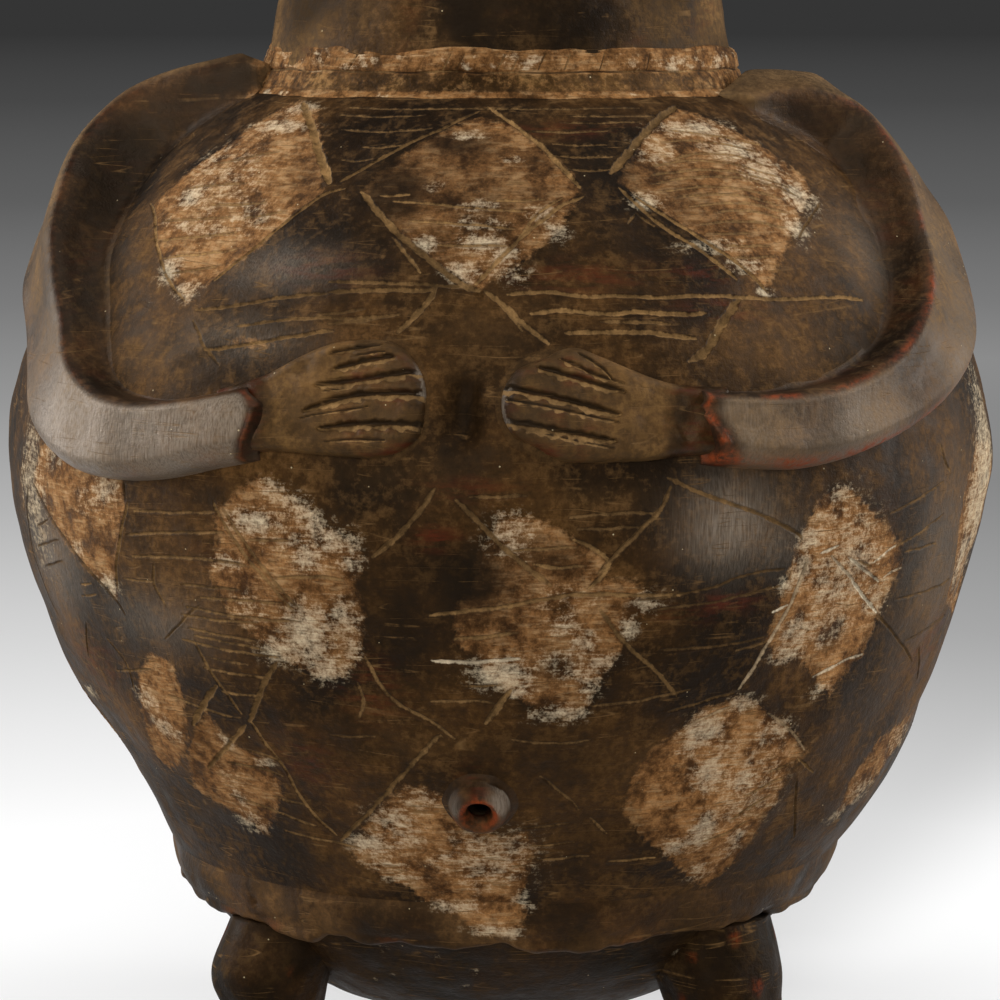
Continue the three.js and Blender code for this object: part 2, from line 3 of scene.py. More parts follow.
import bpy
import numpy as np
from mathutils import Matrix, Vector


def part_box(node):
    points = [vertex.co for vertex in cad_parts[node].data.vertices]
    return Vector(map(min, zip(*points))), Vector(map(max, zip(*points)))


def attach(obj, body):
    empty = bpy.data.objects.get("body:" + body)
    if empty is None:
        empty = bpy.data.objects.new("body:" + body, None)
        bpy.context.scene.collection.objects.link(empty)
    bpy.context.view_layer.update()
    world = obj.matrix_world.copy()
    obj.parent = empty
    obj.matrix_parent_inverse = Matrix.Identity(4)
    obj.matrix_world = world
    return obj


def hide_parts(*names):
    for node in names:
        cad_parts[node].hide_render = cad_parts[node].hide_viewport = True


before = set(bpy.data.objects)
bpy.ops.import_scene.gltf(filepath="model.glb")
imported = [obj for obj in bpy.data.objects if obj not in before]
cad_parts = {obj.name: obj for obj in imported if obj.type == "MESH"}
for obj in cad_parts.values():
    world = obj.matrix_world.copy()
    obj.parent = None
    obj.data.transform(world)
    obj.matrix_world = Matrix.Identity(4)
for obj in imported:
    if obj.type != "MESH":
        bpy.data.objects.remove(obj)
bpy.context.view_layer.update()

# The photograph's view: a long lens a good metre in front of the vessel, a little above its hands
# and tipped down, so that the belly fills the frame and the neck and feet run out of it.
camera = bpy.data.objects.new("camera", bpy.data.cameras.new("camera"))
bpy.context.scene.collection.objects.link(camera)
camera.location = (0, -1.25, 0.361)
camera.rotation_euler = (math.radians(82.31), 0, 0)
camera.data.lens = 133
bpy.context.scene.camera = camera
bpy.context.scene.view_settings.view_transform = "Standard"


# BASE BOWL. The potter starts with a bowl of grog-tempered earthenware, pressed into a mould.
# Smoke from an open fire has blackened it, and its underside keeps chips and a film of pale dust.
def srgb(text):
    """An sRGB hex colour as linear RGBA."""
    parts = [int(text[i:i + 2], 16) / 255 for i in (1, 3, 5)]
    return [c / 12.92 if c <= 0.04045 else ((c + 0.055) / 1.055) ** 2.4 for c in parts] + [1]


def add(tree, kind, sockets=None, out=0, **settings):
    """Adds a node with its settings and links, and gives one of its outputs. A socket's value is a
    link or a constant. Map Range has its value, from low, from high, to low and to high on sockets
    0 to 4, and a colour Mix its share on 0 and its colours on 6 and 7, with the result on 2."""
    made = tree.nodes.new("ShaderNode" + kind)
    for key, value in settings.items():
        setattr(made, key, value)
    for socket, value in (sockets or {}).items():
        if isinstance(value, bpy.types.NodeSocket):
            tree.links.new(value, made.inputs[socket])
        else:
            made.inputs[socket].default_value = value
    return made.outputs[out] if len(made.outputs) else None


def fired_clay(name, dark, brown, dust, rough, shine, relief=1.0, dusty=0.5):
    """Low-fired earthenware, smoked in the fire. Tone comes from smoke clouds and dust, and marks
    on the mesh bring in scoring with painted shade at its edges, ochre, kaolin, ember-red spots,
    soot with painted shade, greasy bloom with a painted sheen and glints, and worn edges."""
    material = bpy.data.materials.new(name)
    material.use_nodes = True
    tree = material.node_tree
    tree.nodes.clear()
    place = add(tree, "TexCoord", out="Object")
    mm = add(tree, "VectorMath", {0: place, 3: 1000}, operation="SCALE")
    mark = {word: add(tree, "Attribute", out="Fac", attribute_name=word) for word in
            ("score", "fill", "field", "kaolin", "bloom_and_sheen", "ember", "soot", "worn", "film")}

    # Smoke clouds of 40 mm, blotches of 9 mm, clay grain of 2.5 and 0.7 mm
    cloud, blotch, grain, grit = (
        add(tree, "TexNoise", {"Vector": mm, "Scale": 1 / size, "Detail": detail, "Roughness": broken})
        for size, detail, broken in ((40, 3, 0.6), (9, 5, 0.62), (2.5, 4, 0.68), (0.7, 2, 0.6)))
    # Drawn out round the pot: marks of the burnishing stone, 2.2 mm wide, streaks of 1 mm that
    # wiping left, and the combing's wander. Upright: scratches of 0.5 mm in the greasy bloom and its
    # painted sheen
    rubbed, raked, combing, scratch = (
        add(tree, "TexNoise", {
            "Vector": add(tree, "Mapping",
                          {"Vector": mm, "Scale": (round_it, round_it, upright), "Rotation": tilt}),
            "Scale": 1, "Detail": detail, "Roughness": broken})
        for round_it, upright, tilt, detail, broken in (
            (0.1, 0.45, (0, 0, 0), 4, 0.66), (0.17, 1.0, (0.05, 0.07, 0), 3, 0.6),
            (0.013, 0.2, (0.06, -0.05, 0), 1, 0.5), (1.9, 0.14, (0, 0, 0), 2, 0.6)))
    # Combing: hair-thin lines some 5 mm apart, in clusters
    combing = add(tree, "Math", {0: combing, 1: 0.5}, operation="SUBTRACT")
    combing = add(tree, "Math", {0: combing}, operation="ABSOLUTE")
    combing = add(tree, "MapRange", {0: combing, 1: 0.001, 2: 0.011, 3: 0.75, 4: 0})
    clustered = add(tree, "MapRange", {0: blotch, 1: 0.48, 2: 0.62, 3: 0, 4: relief})
    combing = add(tree, "Math", {0: combing, 1: clustered}, operation="MULTIPLY")

    clouded = add(tree, "MapRange", {0: cloud, 1: 0.36, 2: 0.66}, interpolation_type="SMOOTHSTEP")
    mottled = add(tree, "MapRange", {0: blotch, 1: 0.3, 2: 0.7, 3: 0.5, 4: 1.5})
    grained = add(tree, "MapRange", {0: grain, 1: 0.3, 2: 0.7, 3: 0.56, 4: 1.48})
    banded = add(tree, "MapRange", {0: rubbed, 1: 0.32, 2: 0.7, 3: 0.84, 4: 1.18})
    # Olive-tan dust lies in a film, and in the scratches where the blotches are high
    rough_place = add(tree, "Math", {0: blotch, 1: grain}, operation="ADD")
    settled = add(tree, "MapRange", {0: rough_place, 1: 1.0, 2: 1.34, 3: 0, 4: dusty})
    filmed = add(tree, "MapRange", {0: grained, 1: 0.6, 2: 1.4, 3: 0.45, 4: 1.1})
    filmed = add(tree, "Math", {0: filmed, 1: mark["film"]}, operation="MULTIPLY")
    settled = add(tree, "Math", {0: settled, 1: filmed}, operation="ADD", use_clamp=True)
    # Ember-red spots where the fire reached the clay, and soot where it was starved of air; the same mark
    # carries painted shade in hollows, gouges and the navel's bore, and on the arms' inner walls and cuff
    # ends
    glow = add(tree, "MapRange", {0: rubbed, 1: 0.44, 2: 0.66})
    glow = add(tree, "Math", {0: glow, 1: mark["ember"]}, operation="MULTIPLY", use_clamp=True)
    black = add(tree, "Math", {0: mark["soot"], 1: 0.92}, operation="MULTIPLY", use_clamp=True)
    # Greasy bloom from handling, painted grey as a sheen, and in places as glints
    painted_sheen = add(tree, "MapRange", {0: scratch, 1: 0.3, 2: 0.7, 3: 0.25, 4: 0.8})
    painted_sheen = add(tree, "Math", {0: painted_sheen, 1: mark["bloom_and_sheen"]}, operation="MULTIPLY", use_clamp=True)

    # Ochre rubbed into the lozenges: it flakes along their edges, is browner where it is thin,
    # and paler where it lies powdery; on some lower lozenges that paler ochre is painted light
    flake = add(tree, "MapRange", {0: grain, 3: -3, 4: 3})
    inside = add(tree, "Math", {0: mark["field"], 1: flake}, operation="ADD")
    inside = add(tree, "MapRange", {0: inside, 1: 5.0, 2: 7.4, 3: 0, 4: 0.9})
    under_soot_and_shade = add(tree, "MapRange", {0: mark["soot"], 1: 0, 2: 0.8, 3: 1, 4: 0.08})
    thin = add(tree, "MapRange", {0: blotch, 1: 0.34, 2: 0.48, 3: 0.4, 4: 1})
    for left_over in (under_soot_and_shade, thin):
        inside = add(tree, "Math", {0: inside, 1: left_over}, operation="MULTIPLY")
    ochre = add(tree, "MapRange", {0: rough_place, 1: 0.78, 2: 1.2})
    ochre = add(tree, "Mix", {0: ochre, 6: srgb("#4a2e16"), 7: srgb("#8f653c")}, out=2, data_type="RGBA")
    powdery_and_lit = add(tree, "MapRange", {0: mark["field"], 1: 12, 2: 20, 3: 1, 4: 1.5})
    gritty = add(tree, "MapRange", {0: grit, 1: 0.3, 2: 0.7, 3: 0.76, 4: 1.24})
    for shade in (powdery_and_lit, gritty):
        ochre = add(tree, "VectorMath", {0: ochre, 3: shade}, operation="SCALE")
    # Thin cream left in the scratches across a lozenge
    creamed = add(tree, "Math", {0: raked, 1: blotch}, operation="ADD")
    creamed = add(tree, "MapRange", {0: creamed, 1: 1.0, 2: 1.3, 3: 0, 4: 0.5})
    creamed = add(tree, "Math", {0: creamed, 1: inside}, operation="MULTIPLY")

    # Kaolin left as a smeared and broken crust, in specks of 0.7 mm, streaks and patches of 2.5 mm
    crust = add(tree, "MapRange", {0: grit, 1: 0.3, 2: 0.7, 3: -0.2, 4: 0.2})
    worn_off = add(tree, "MapRange", {0: grain, 1: 0.3, 2: 0.7, 3: -0.45, 4: 0.45})
    wiped = add(tree, "MapRange", {0: raked, 1: 0.3, 2: 0.7, 3: -0.24, 4: 0.24})
    for lost in (worn_off, wiped):
        crust = add(tree, "Math", {0: crust, 1: lost}, operation="ADD")
    crust = add(tree, "Math", {0: mark["kaolin"], 1: 1.35, 2: crust}, operation="MULTIPLY_ADD")
    crust = add(tree, "MapRange", {0: crust, 1: 0.28, 2: 1.3, 3: 0, 4: 0.86})
    present = add(tree, "MapRange", {0: mark["kaolin"], 1: 0.02, 2: 0.2})
    crust = add(tree, "Math", {0: crust, 1: present}, operation="MULTIPLY")

    # Scored lines: painted shade along the lip, and a floor that is bare, ochre or filled with kaolin
    ragged = add(tree, "MapRange", {0: grain, 1: 0.3, 2: 0.7, 3: -0.24, 4: 0.24})
    cut = add(tree, "Math", {0: mark["score"], 1: ragged}, operation="ADD")
    lip = add(tree, "MapRange", {0: cut, 1: 1.45, 2: 1.95, 3: 0, 4: 0.4})
    floor_tone = add(tree, "MapRange", {0: mark["fill"], 1: 0, 2: 1})
    floor_tone = add(tree, "Mix", {0: floor_tone, 6: srgb("#24180e"), 7: srgb("#83653f")}, out=2,
                     data_type="RGBA")
    whiting = add(tree, "MapRange", {0: mark["fill"], 1: 1, 2: 2})
    floor_tone = add(tree, "Mix", {0: whiting, 6: floor_tone, 7: srgb("#cfc1a6")}, out=2, data_type="RGBA")
    for shade in (mottled, grained):
        floor_tone = add(tree, "VectorMath", {0: floor_tone, 3: shade}, operation="SCALE")
    cut = add(tree, "MapRange", {0: cut, 1: 1.75, 2: 2.12, 3: 0, 4: 0.85})
    # Edges rubbed through to the orange body of the clay
    rub = add(tree, "MapRange", {0: grain, 1: 0.38, 2: 0.62, 3: 0.1, 4: 1.2})
    rub = add(tree, "Math", {0: rub, 1: mark["worn"]}, operation="MULTIPLY", use_clamp=True)
    # Mica in the temper, in specks of 0.3 mm painted pale as glints
    speck = add(tree, "TexVoronoi", {"Vector": mm, "Scale": 1 / 2.6}, out="Distance")
    chosen = add(tree, "SeparateColor", {0: speck.node.outputs["Color"]})
    chosen = add(tree, "Math", {0: chosen, 1: 0.965}, operation="GREATER_THAN")
    mica_glint = add(tree, "Math", {0: speck, 1: 0.1}, operation="LESS_THAN")
    mica_glint = add(tree, "Math", {0: mica_glint, 1: chosen}, operation="MULTIPLY")

    # The fired clay's own tone, and over it each layer in the order in which it came on to the pot,
    # with the painted sheen, shade and glints among them
    tone = add(tree, "Mix", {0: clouded, 6: srgb(dark), 7: srgb(brown)}, out=2, data_type="RGBA")
    for shade in (mottled, grained, banded):
        tone = add(tree, "VectorMath", {0: tone, 3: shade}, operation="SCALE")
    for share, colour in (
            (settled, srgb(dust)), (glow, srgb("#54200f")), (black, srgb("#0c0703")),
            (painted_sheen, srgb("#8a7d6e")), (inside, ochre), (creamed, srgb("#b9996f")),
            (crust, srgb("#cfbc9c")), (combing, srgb("#6b5030")), (lip, srgb("#1a110a")),
            (cut, floor_tone), (rub, srgb("#7a3212")), (mica_glint, srgb("#a89878"))):
        tone = add(tree, "Mix", {0: share, 6: tone, 7: colour}, out=2, data_type="RGBA")

    # Burnished clay is half glossy; dust, pigment and scored clay are matt
    gloss = add(tree, "MapRange", {0: blotch, 1: 0.3, 2: 0.7, 3: rough - 0.08, 4: rough + 0.16})
    gloss = add(tree, "Mix", {0: mark["bloom_and_sheen"], 2: gloss, 3: 0.33})
    chalky = inside
    for powder in (crust, cut, settled):
        chalky = add(tree, "Math", {0: chalky, 1: powder}, operation="MAXIMUM")
    gloss = add(tree, "Mix", {0: chalky, 2: gloss, 3: 0.9})

    # Heights in millimetres: pigment stands proud, grain and the burnisher's marks are shallow
    broken = add(tree, "Math", {0: inside, 1: raked}, operation="MULTIPLY")
    height = 0
    for layer, high in ((grain, 0.32), (grit, 0.1), (rubbed, 0.14), (raked, 0.1), (blotch, 0.4),
                        (crust, 0.12), (broken, 0.35), (combing, -0.25)):
        height = add(tree, "Math", {0: layer, 1: high, 2: height}, operation="MULTIPLY_ADD")
    bump = add(tree, "Bump", {"Strength": relief, "Distance": 0.001, "Height": height})

    # The clay's own pores make its shine weaker than a glaze's, and smoke and oil turn it brown
    shader = add(tree, "BsdfPrincipled", {
        "Base Color": tone, "Roughness": gloss, "Normal": bump, "IOR": 1.5, "Metallic": 0,
        "Specular IOR Level": shine, "Specular Tint": srgb("#ffdcb8")})
    add(tree, "OutputMaterial", {"Surface": shader})
    return material


def wobble(points, size, seed):
    """Smooth unevenness left by the hand, about -1 to 1, with swells of about size mm."""
    dice = np.random.default_rng(seed)
    total = np.zeros(points.shape[:-1])
    for _ in range(12):
        way = dice.normal(size=3)
        way *= 2 * math.pi / (np.linalg.norm(way) * size * dice.uniform(0.75, 1.5))
        total += np.sin(points @ way + dice.uniform(0, 2 * math.pi))
    return total / 3.6


def loft(rings, joined=False):
    """Skins closed rings of points: gives points, triangles and each corner's place on the map."""
    count, across = rings.shape[:2]
    k = np.arange(count if joined else count - 1)[:, None]
    j = np.arange(across)[None, :]
    after, beside = (k + 1) % count, (j + 1) % across
    a, b, c, d = k * across + j, k * across + beside, after * across + beside, after * across + j
    steps = np.linalg.norm(np.roll(rings, -1, 0) - rings, axis=2).mean(1)
    run = np.concatenate([[0], np.cumsum(steps)])
    ends = [np.linalg.norm(rings[e] - rings[e].mean(0), axis=1).mean() for e in (0, -1)]
    lead, tail = (0, 0) if joined else ends
    total = lead + run[len(k)] + tail
    u0, u1 = (j + 0 * k) / across, (j + 1 + 0 * k) / across
    v0, v1 = (lead + run[k] + 0 * j) / total, (lead + run[k + 1] + 0 * j) / total
    faces = [np.stack([a, b, c], -1).reshape(-1, 3), np.stack([a, c, d], -1).reshape(-1, 3)]
    maps = [np.stack([np.stack([u0, v0], -1), np.stack([u1, v0], -1), np.stack([u1, v1], -1)], -2),
            np.stack([np.stack([u0, v0], -1), np.stack([u1, v1], -1), np.stack([u0, v1], -1)], -2)]
    maps = [m.reshape(-1, 3, 2) for m in maps]
    points = rings.reshape(-1, 3)
    if not joined:
        line = np.arange(across)
        for end, flip, v_ring, v_tip in ((0, True, lead / total, 0),
                                         (count - 1, False, 1 - tail / total, 1)):
            here, there = end * across + line, end * across + (line + 1) % across
            if flip:
                here, there = there, here
            middle = np.full(across, len(points))
            points = np.vstack([points, rings[end].mean(0)])
            faces.append(np.stack([here, there, middle], -1))
            left, right = (line + 1, line) if flip else (line, line + 1)
            maps.append(np.stack([np.stack([left / across, np.full(across, v_ring)], -1),
                                  np.stack([right / across, np.full(across, v_ring)], -1),
                                  np.stack([(line + 0.5) / across, np.full(across, v_tip)], -1)], 1))
    return points, np.concatenate(faces), np.concatenate(maps)


def clay_piece(name, shape, material, nodes, marks=None):
    """Makes the object from points in mm, triangles and corner places, and ties it to the frame."""
    points, faces, maps = shape
    a, b, c = (points[faces[:, k]] for k in range(3))
    if np.einsum("ij,ij->", a, np.cross(b, c)) < 0:
        faces, maps = faces[:, ::-1], maps[:, ::-1]
    mesh = bpy.data.meshes.new(name)
    mesh.vertices.add(len(points))
    mesh.vertices.foreach_set("co", np.ascontiguousarray(points / 1000, np.float32).ravel())
    mesh.loops.add(faces.size)
    mesh.loops.foreach_set("vertex_index", np.ascontiguousarray(faces, np.int32).ravel())
    mesh.polygons.add(len(faces))
    mesh.polygons.foreach_set("loop_start", np.arange(0, faces.size, 3, dtype=np.int32))
    mesh.uv_layers.new(name="OFBake").uv.foreach_set("vector",
            np.ascontiguousarray(maps, np.float32).ravel())
    for word, values in (marks or {}).items():
        spread = np.zeros(len(points), np.float32)
        spread[:values.size] = values.ravel()
        mesh.attributes.new(word, "FLOAT", "POINT").data.foreach_set("value", spread)
    mesh.update(calc_edges=True)
    mesh.shade_smooth()
    mesh.materials.append(material)
    made = bpy.data.objects.new(name, mesh)
    bpy.context.scene.collection.objects.link(made)
    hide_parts(*nodes)
    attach(made, "root")


def curve(places, shares):
    """A smooth curve through places, read at shares of 0 to 1 of its spans."""
    places = np.asarray(places, float)
    last = len(places) - 1
    at = np.clip(np.asarray(shares, float), 0, 1) * last
    near = np.minimum(np.floor(at).astype(int), last - 1)
    w = (at - near)[:, None]
    p0, p1 = places[np.maximum(near - 1, 0)], places[near]
    p2, p3 = places[near + 1], places[np.minimum(near + 2, last)]
    v0, v1 = (p2 - p0) / 2, (p3 - p1) / 2
    return (2 * p1 - 2 * p2 + v0 + v1) * w ** 3 + (-3 * p1 + 3 * p2 - 2 * v0 - v1) * w ** 2 + v0 * w + p1


def turned(profile, steps, sides, waver, seed, joined=False):
    """Turns a profile of [radius, height] by hand: it wavers by so many mm. Gives the rings."""
    line = curve(profile, np.linspace(0, 1, steps)) if steps else np.asarray(profile, float)
    turn = np.linspace(-math.pi, math.pi, sides, endpoint=False)
    r, z = line[:, :1], line[:, 1:] + 0 * turn
    rings = np.stack([r * np.sin(turn), -r * np.cos(turn), z], -1)
    push = waver * wobble(rings, 40, seed) + waver * 0.35 * wobble(rings, 11, seed + 1)
    rings[..., 0] += push * np.sin(turn)
    rings[..., 1] -= push * np.cos(turn)
    return rings


joint_z, shoulder_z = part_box("belly")[0].z * 1000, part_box("belly")[1].z * 1000
bowl_low, bowl_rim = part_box("base_bowl")[0].z * 1000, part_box("base_bowl")[1].z * 1000
BOWL_FLAT, BOWL_RIM, BOWL_WALL = 34, 105.7, 9
share = np.linspace(0, 1, 34)
outside = np.stack([BOWL_FLAT + (BOWL_RIM - BOWL_FLAT) * share ** 0.62,
                    bowl_low + (bowl_rim - bowl_low) * share ** 1.35], 1)
underside = np.stack([np.linspace(1.5, BOWL_FLAT, 10), np.full(10, bowl_low)], 1)
inside = np.stack([outside[::-1, 0] - BOWL_WALL, np.minimum(outside[::-1, 1] + BOWL_WALL * 0.6, bowl_rim)],
                  1)
inside = inside[inside[:, 1] > bowl_low + BOWL_WALL]
floor_in = np.stack([np.linspace(inside[-1, 0], 1.5, 8), np.full(8, bowl_low + BOWL_WALL)], 1)[1:]
bowl_rings = turned(np.concatenate([underside, outside[1:], inside, floor_in]), 0, 300, 0.7, 5)
# Chips where the bowl has stood on stones: 2 to 3 mm across, pale inside
chip = np.zeros(bowl_rings.shape[:2])
dice = np.random.default_rng(8)
chip_places = [(-22, 60, 1.5), (-12, 58, 1.2), (-5, 52, 1.5)] + [
    (dice.uniform(-180, 180), dice.uniform(40, 62), dice.uniform(0.8, 1.6)) for _ in range(9)]
for azimuth, height, size in chip_places:
    r = np.interp(height, outside[:, 1], outside[:, 0])
    spot = np.array([r * math.sin(math.radians(azimuth)), -r * math.cos(math.radians(azimuth)), height])
    away = np.linalg.norm(bowl_rings - spot, axis=2) / size
    chip = np.maximum(chip, np.exp(-away ** 2))
outward = bowl_rings * [1, 1, 0]
bowl_rings -= outward / np.linalg.norm(outward, axis=2, keepdims=True) * chip[..., None] * 0.8
# Inside, the bowl is black
outer_rows = np.arange(len(bowl_rings)) < len(underside) + len(outside) - 1
smoked_earthenware = fired_clay("smoked_earthenware", "#0e0803", "#2c1c0c", "#4c3a22", 0.55, 0.08)
clay_piece("base_bowl_clay", loft(bowl_rings), smoked_earthenware, ["base_bowl"],
           {"kaolin": chip * 0.6, "soot": np.where(outer_rows, 0.35, 1)[:, None] + 0 * chip})


# BELLY. A coil-built globe of the same clay, beaten and scraped smooth and then burnished.
# Lozenges are scored into the leather-hard wall with a stick, their borders and the combing drawn
# as grooves, and after firing they are rubbed with ochre and white kaolin that has since flaked.
EQUATOR_RISE, BELLY_RADIUS, JOINT_RADIUS, SHOULDER_RADIUS, WALL = 146, 166, 106, 84, 9
equator_z = joint_z + EQUATOR_RISE
body_height = shoulder_z - joint_z


def wall_radius(z):
    """The globe's radius: fuller above the joint than a cone, and flattened into the shoulder."""
    down = np.clip((equator_z - z) / EQUATOR_RISE, 0, 1)
    up = np.clip((z - equator_z) / (shoulder_z - equator_z), 0, 1)
    low = BELLY_RADIUS - (BELLY_RADIUS - JOINT_RADIUS) * down ** 1.65
    high = SHOULDER_RADIUS + (BELLY_RADIUS - SHOULDER_RADIUS) * (1 - up ** 1.8) ** 0.8
    return np.where(z <= equator_z, low, high)


def wall_slope(z, reach=0.487):
    """How much the radius grows with each mm of height, taken over a mm or so."""
    low, high = np.maximum(z - reach, joint_z), np.minimum(z + reach, shoulder_z)
    return (wall_radius(high) - wall_radius(low)) / (high - low)


def out_of_true(z):
    """How far the lower belly stands out of true, to the right as it is seen from the front."""
    return 5 * np.exp(-((z - 103) / 26) ** 2)


def on_wall(azimuth, z, raised=0.0):
    """A point on the hand-made wall, raised along its normal. The front is azimuth 0."""
    azimuth, z, raised = np.broadcast_arrays(azimuth, z, raised)
    slope, turn = wall_slope(z), np.radians(azimuth)
    length = np.hypot(1, slope)
    bare = np.stack([wall_radius(z) * np.sin(turn), -wall_radius(z) * np.cos(turn), z], -1)
    # The coils' low swells, which the solid has too, and the beater's dents between them
    calm = np.clip(np.minimum(z - joint_z - 13, shoulder_z - z) / 20, 0, 1)
    swell = sum(np.sin(count * turn + 2 * math.pi * z / climb + start)
                for count, climb, start in ((11, 74, 0.4), (-12, 58, 2.1), (7, -90, 4.4), (-9, 96, 5.2)))
    raised = raised + calm * (0.36 * swell + 0.2 * wobble(bare, 17, 4))
    normal = np.stack([np.sin(turn), -np.cos(turn), -slope], -1) / length[..., None]
    bare[..., 0] += out_of_true(z)
    return bare + normal * raised[..., None]


line_z = np.linspace(joint_z, shoulder_z, 6001)
line_run = np.concatenate([[0], np.cumsum(np.hypot(np.diff(line_z), np.diff(wall_radius(line_z))))])
run_length = line_run[-1]

# What is drawn on the wall is worked out on a fine sheet, 0.12 degrees by 0.33 mm
AZ_STEP, RUN_STEP = 0.12, 0.33
sheet_wide, sheet_tall = round(360 / AZ_STEP), int(run_length / RUN_STEP) + 2
sheet_radius = wall_radius(np.interp(np.arange(sheet_tall) * RUN_STEP, line_run, line_z))
sheet = {word: np.zeros((sheet_tall, sheet_wide), np.float32)
         for word in ("fill", "field", "kaolin", "bloom_and_sheen", "ember", "soot", "film", "form", "groove")}
sheet["edge"] = np.full((sheet_tall, sheet_wide), 6, np.float32)


def window(azimuth, z, wide, tall):
    """The sheet's cells about a place, and how many mm east and up of it each of them lies."""
    run = np.interp(z, line_z, line_run)
    half = math.degrees(wide / float(wall_radius(z)) * 1.25)
    cols = np.arange(math.floor((azimuth - half + 180) / AZ_STEP),
                     math.ceil((azimuth + half + 180) / AZ_STEP) + 1)
    rows = np.arange(max(0, int((run - tall) / RUN_STEP)),
                     min(sheet_tall, int((run + tall) / RUN_STEP) + 2))
    east = np.radians(cols * AZ_STEP - 180 - azimuth)[None, :] * sheet_radius[rows][:, None]
    up = (rows * RUN_STEP - run)[:, None] + 0 * east
    return np.ix_(rows, cols % sheet_wide), east, up


def flatten(places, azimuth, z):
    """Azimuths and heights as mm east and up along the wall of a middle place."""
    places = np.asarray(places, float)
    return np.stack([np.radians(places[:, 0] - azimuth) * wall_radius(places[:, 1]),
                     np.interp(places[:, 1], line_z, line_run) - np.interp(z, line_z, line_run)], 1)


def drawn(places, margin):
    """A hand-drawn path through places: the cells near it, how far off and how far along each is."""
    azimuth, z = (min(p[0] for p in places) + max(p[0] for p in places)) / 2, places[len(places) // 2][1]
    path = flatten(places, azimuth, z)
    steps = max(2, int(np.linalg.norm(np.diff(path, axis=0), axis=1).sum() / 1.5))
    path = curve(path, np.linspace(0, 1, steps + 1))
    path += 0.13 * np.stack([wobble(path @ np.eye(2, 3), 9, 21), wobble(path @ np.eye(2, 3), 8, 22)], 1)
    cells, east, up = window(azimuth, z, np.abs(path[:, 0]).max() + margin,
                             np.abs(path[:, 1]).max() + margin)
    best, along = np.full(east.shape, 99.0), np.zeros(east.shape)
    run = np.concatenate([[0], np.cumsum(np.linalg.norm(np.diff(path, axis=0), axis=1))])
    for i, (p, q) in enumerate(zip(path[:-1], path[1:])):
        reach = margin + 1
        cols = np.nonzero((np.abs(east - (p[0] + q[0]) / 2) < reach + abs(p[0] - q[0])).any(0))[0]
        rows = np.nonzero((np.abs(up[:, 0] - (p[1] + q[1]) / 2) < reach + abs(p[1] - q[1])))[0]
        if not len(cols) or not len(rows):
            continue
        part = np.s_[rows[0]:rows[-1] + 1, cols[0]:cols[-1] + 1]
        way = q - p
        share = np.clip(((east[part] - p[0]) * way[0] + (up[part] - p[1]) * way[1]) / (way @ way + 1e-9), 0,
                        1)
        off = np.hypot(east[part] - p[0] - share * way[0], up[part] - p[1] - share * way[1])
        closer = off < best[part]
        best[part] = np.where(closer, off, best[part])
        along[part] = np.where(closer, run[i] + share * (run[i + 1] - run[i]), along[part])
    return cells, best, along, run[-1]


def score(width, fill, *places):
    """One scored line, ploughed with a stick: a rounded groove with a small burr on either side."""
    cells, off, along, length = drawn(places, 4.5)
    waver = 1 + 0.16 * np.sin(along * 0.9 + places[0][0]) + 0.1 * np.sin(along * 2.3 + places[0][1])
    ends = np.clip(np.minimum(along, length - along) / 3, 0, 1) * 0.6 + 0.4
    # A point's scratch is as thin as a hair, and only the stick's lines have any width
    width *= 0.72 + 0.22 * min(max(width - 1, 0), 1)
    half = width / 2 * waver * ends
    edge = off - half
    closer = edge < sheet["edge"][cells]
    sheet["edge"][cells] = np.where(closer, edge, sheet["edge"][cells])
    sheet["fill"][cells] = np.where(closer, fill, sheet["fill"][cells])
    plough = (0.25 + 0.35 * width) * (1 - np.clip(off / half, 0, 1) ** 2) ** 0.7 * ends
    burr = 0.12 * np.exp(-((edge - 0.4) / 0.35) ** 2) * (edge > 0)
    sheet["groove"][cells] = np.minimum(sheet["groove"][cells], -plough)
    sheet["form"][cells] += np.where(sheet["groove"][cells] < -0.05, 0, burr)


def press(height, width, *places):
    """Clay pushed up, or pressed in where height is negative, along a path."""
    cells, off, _, _ = drawn(places, width * 2.4)
    sheet["form"][cells] += height * np.exp(-(off / width) ** 2)


def dab(word, strength, azimuth, z, wide, tall, hard=1.0):
    """A soft-edged dab of one finish, so many mm across and up from its middle."""
    cells, east, up = window(azimuth, z, wide * 2.2, tall * 2.2)
    soft = np.exp(-((east / wide) ** 2 + (up / tall) ** 2) ** hard)
    sheet[word][cells] = np.maximum(sheet[word][cells], strength * soft)


def lozenge(*places):
    """The field of one lozenge: 6 on its outline and more inside, and the wall a little sunk."""
    azimuth, z = np.mean([p[0] for p in places]), np.mean([p[1] for p in places])
    ring = flatten(places, azimuth, z)
    cells, east, up = window(azimuth, z, np.abs(ring[:, 0]).max() + 7, np.abs(ring[:, 1]).max() + 7)
    off, within = np.full(east.shape, 99.0), np.zeros(east.shape, bool)
    for p, q in zip(ring, np.roll(ring, -1, 0)):
        way = q - p
        share = np.clip(((east - p[0]) * way[0] + (up - p[1]) * way[1]) / (way @ way + 1e-9), 0, 1)
        off = np.minimum(off, np.hypot(east - p[0] - share * way[0], up - p[1] - share * way[1]))
        crosses = (p[1] > up) != (q[1] > up)
        within ^= crosses & (east < way[0] * (up - p[1]) / (way[1] if way[1] else 1e-9) + p[0])
    signed = np.where(within, off, -off)
    sheet["field"][cells] = np.maximum(sheet["field"][cells], np.clip(6 + signed, 0, 12))
    sheet["form"][cells] -= 0.3 / (1 + np.exp(-signed / 0.5))


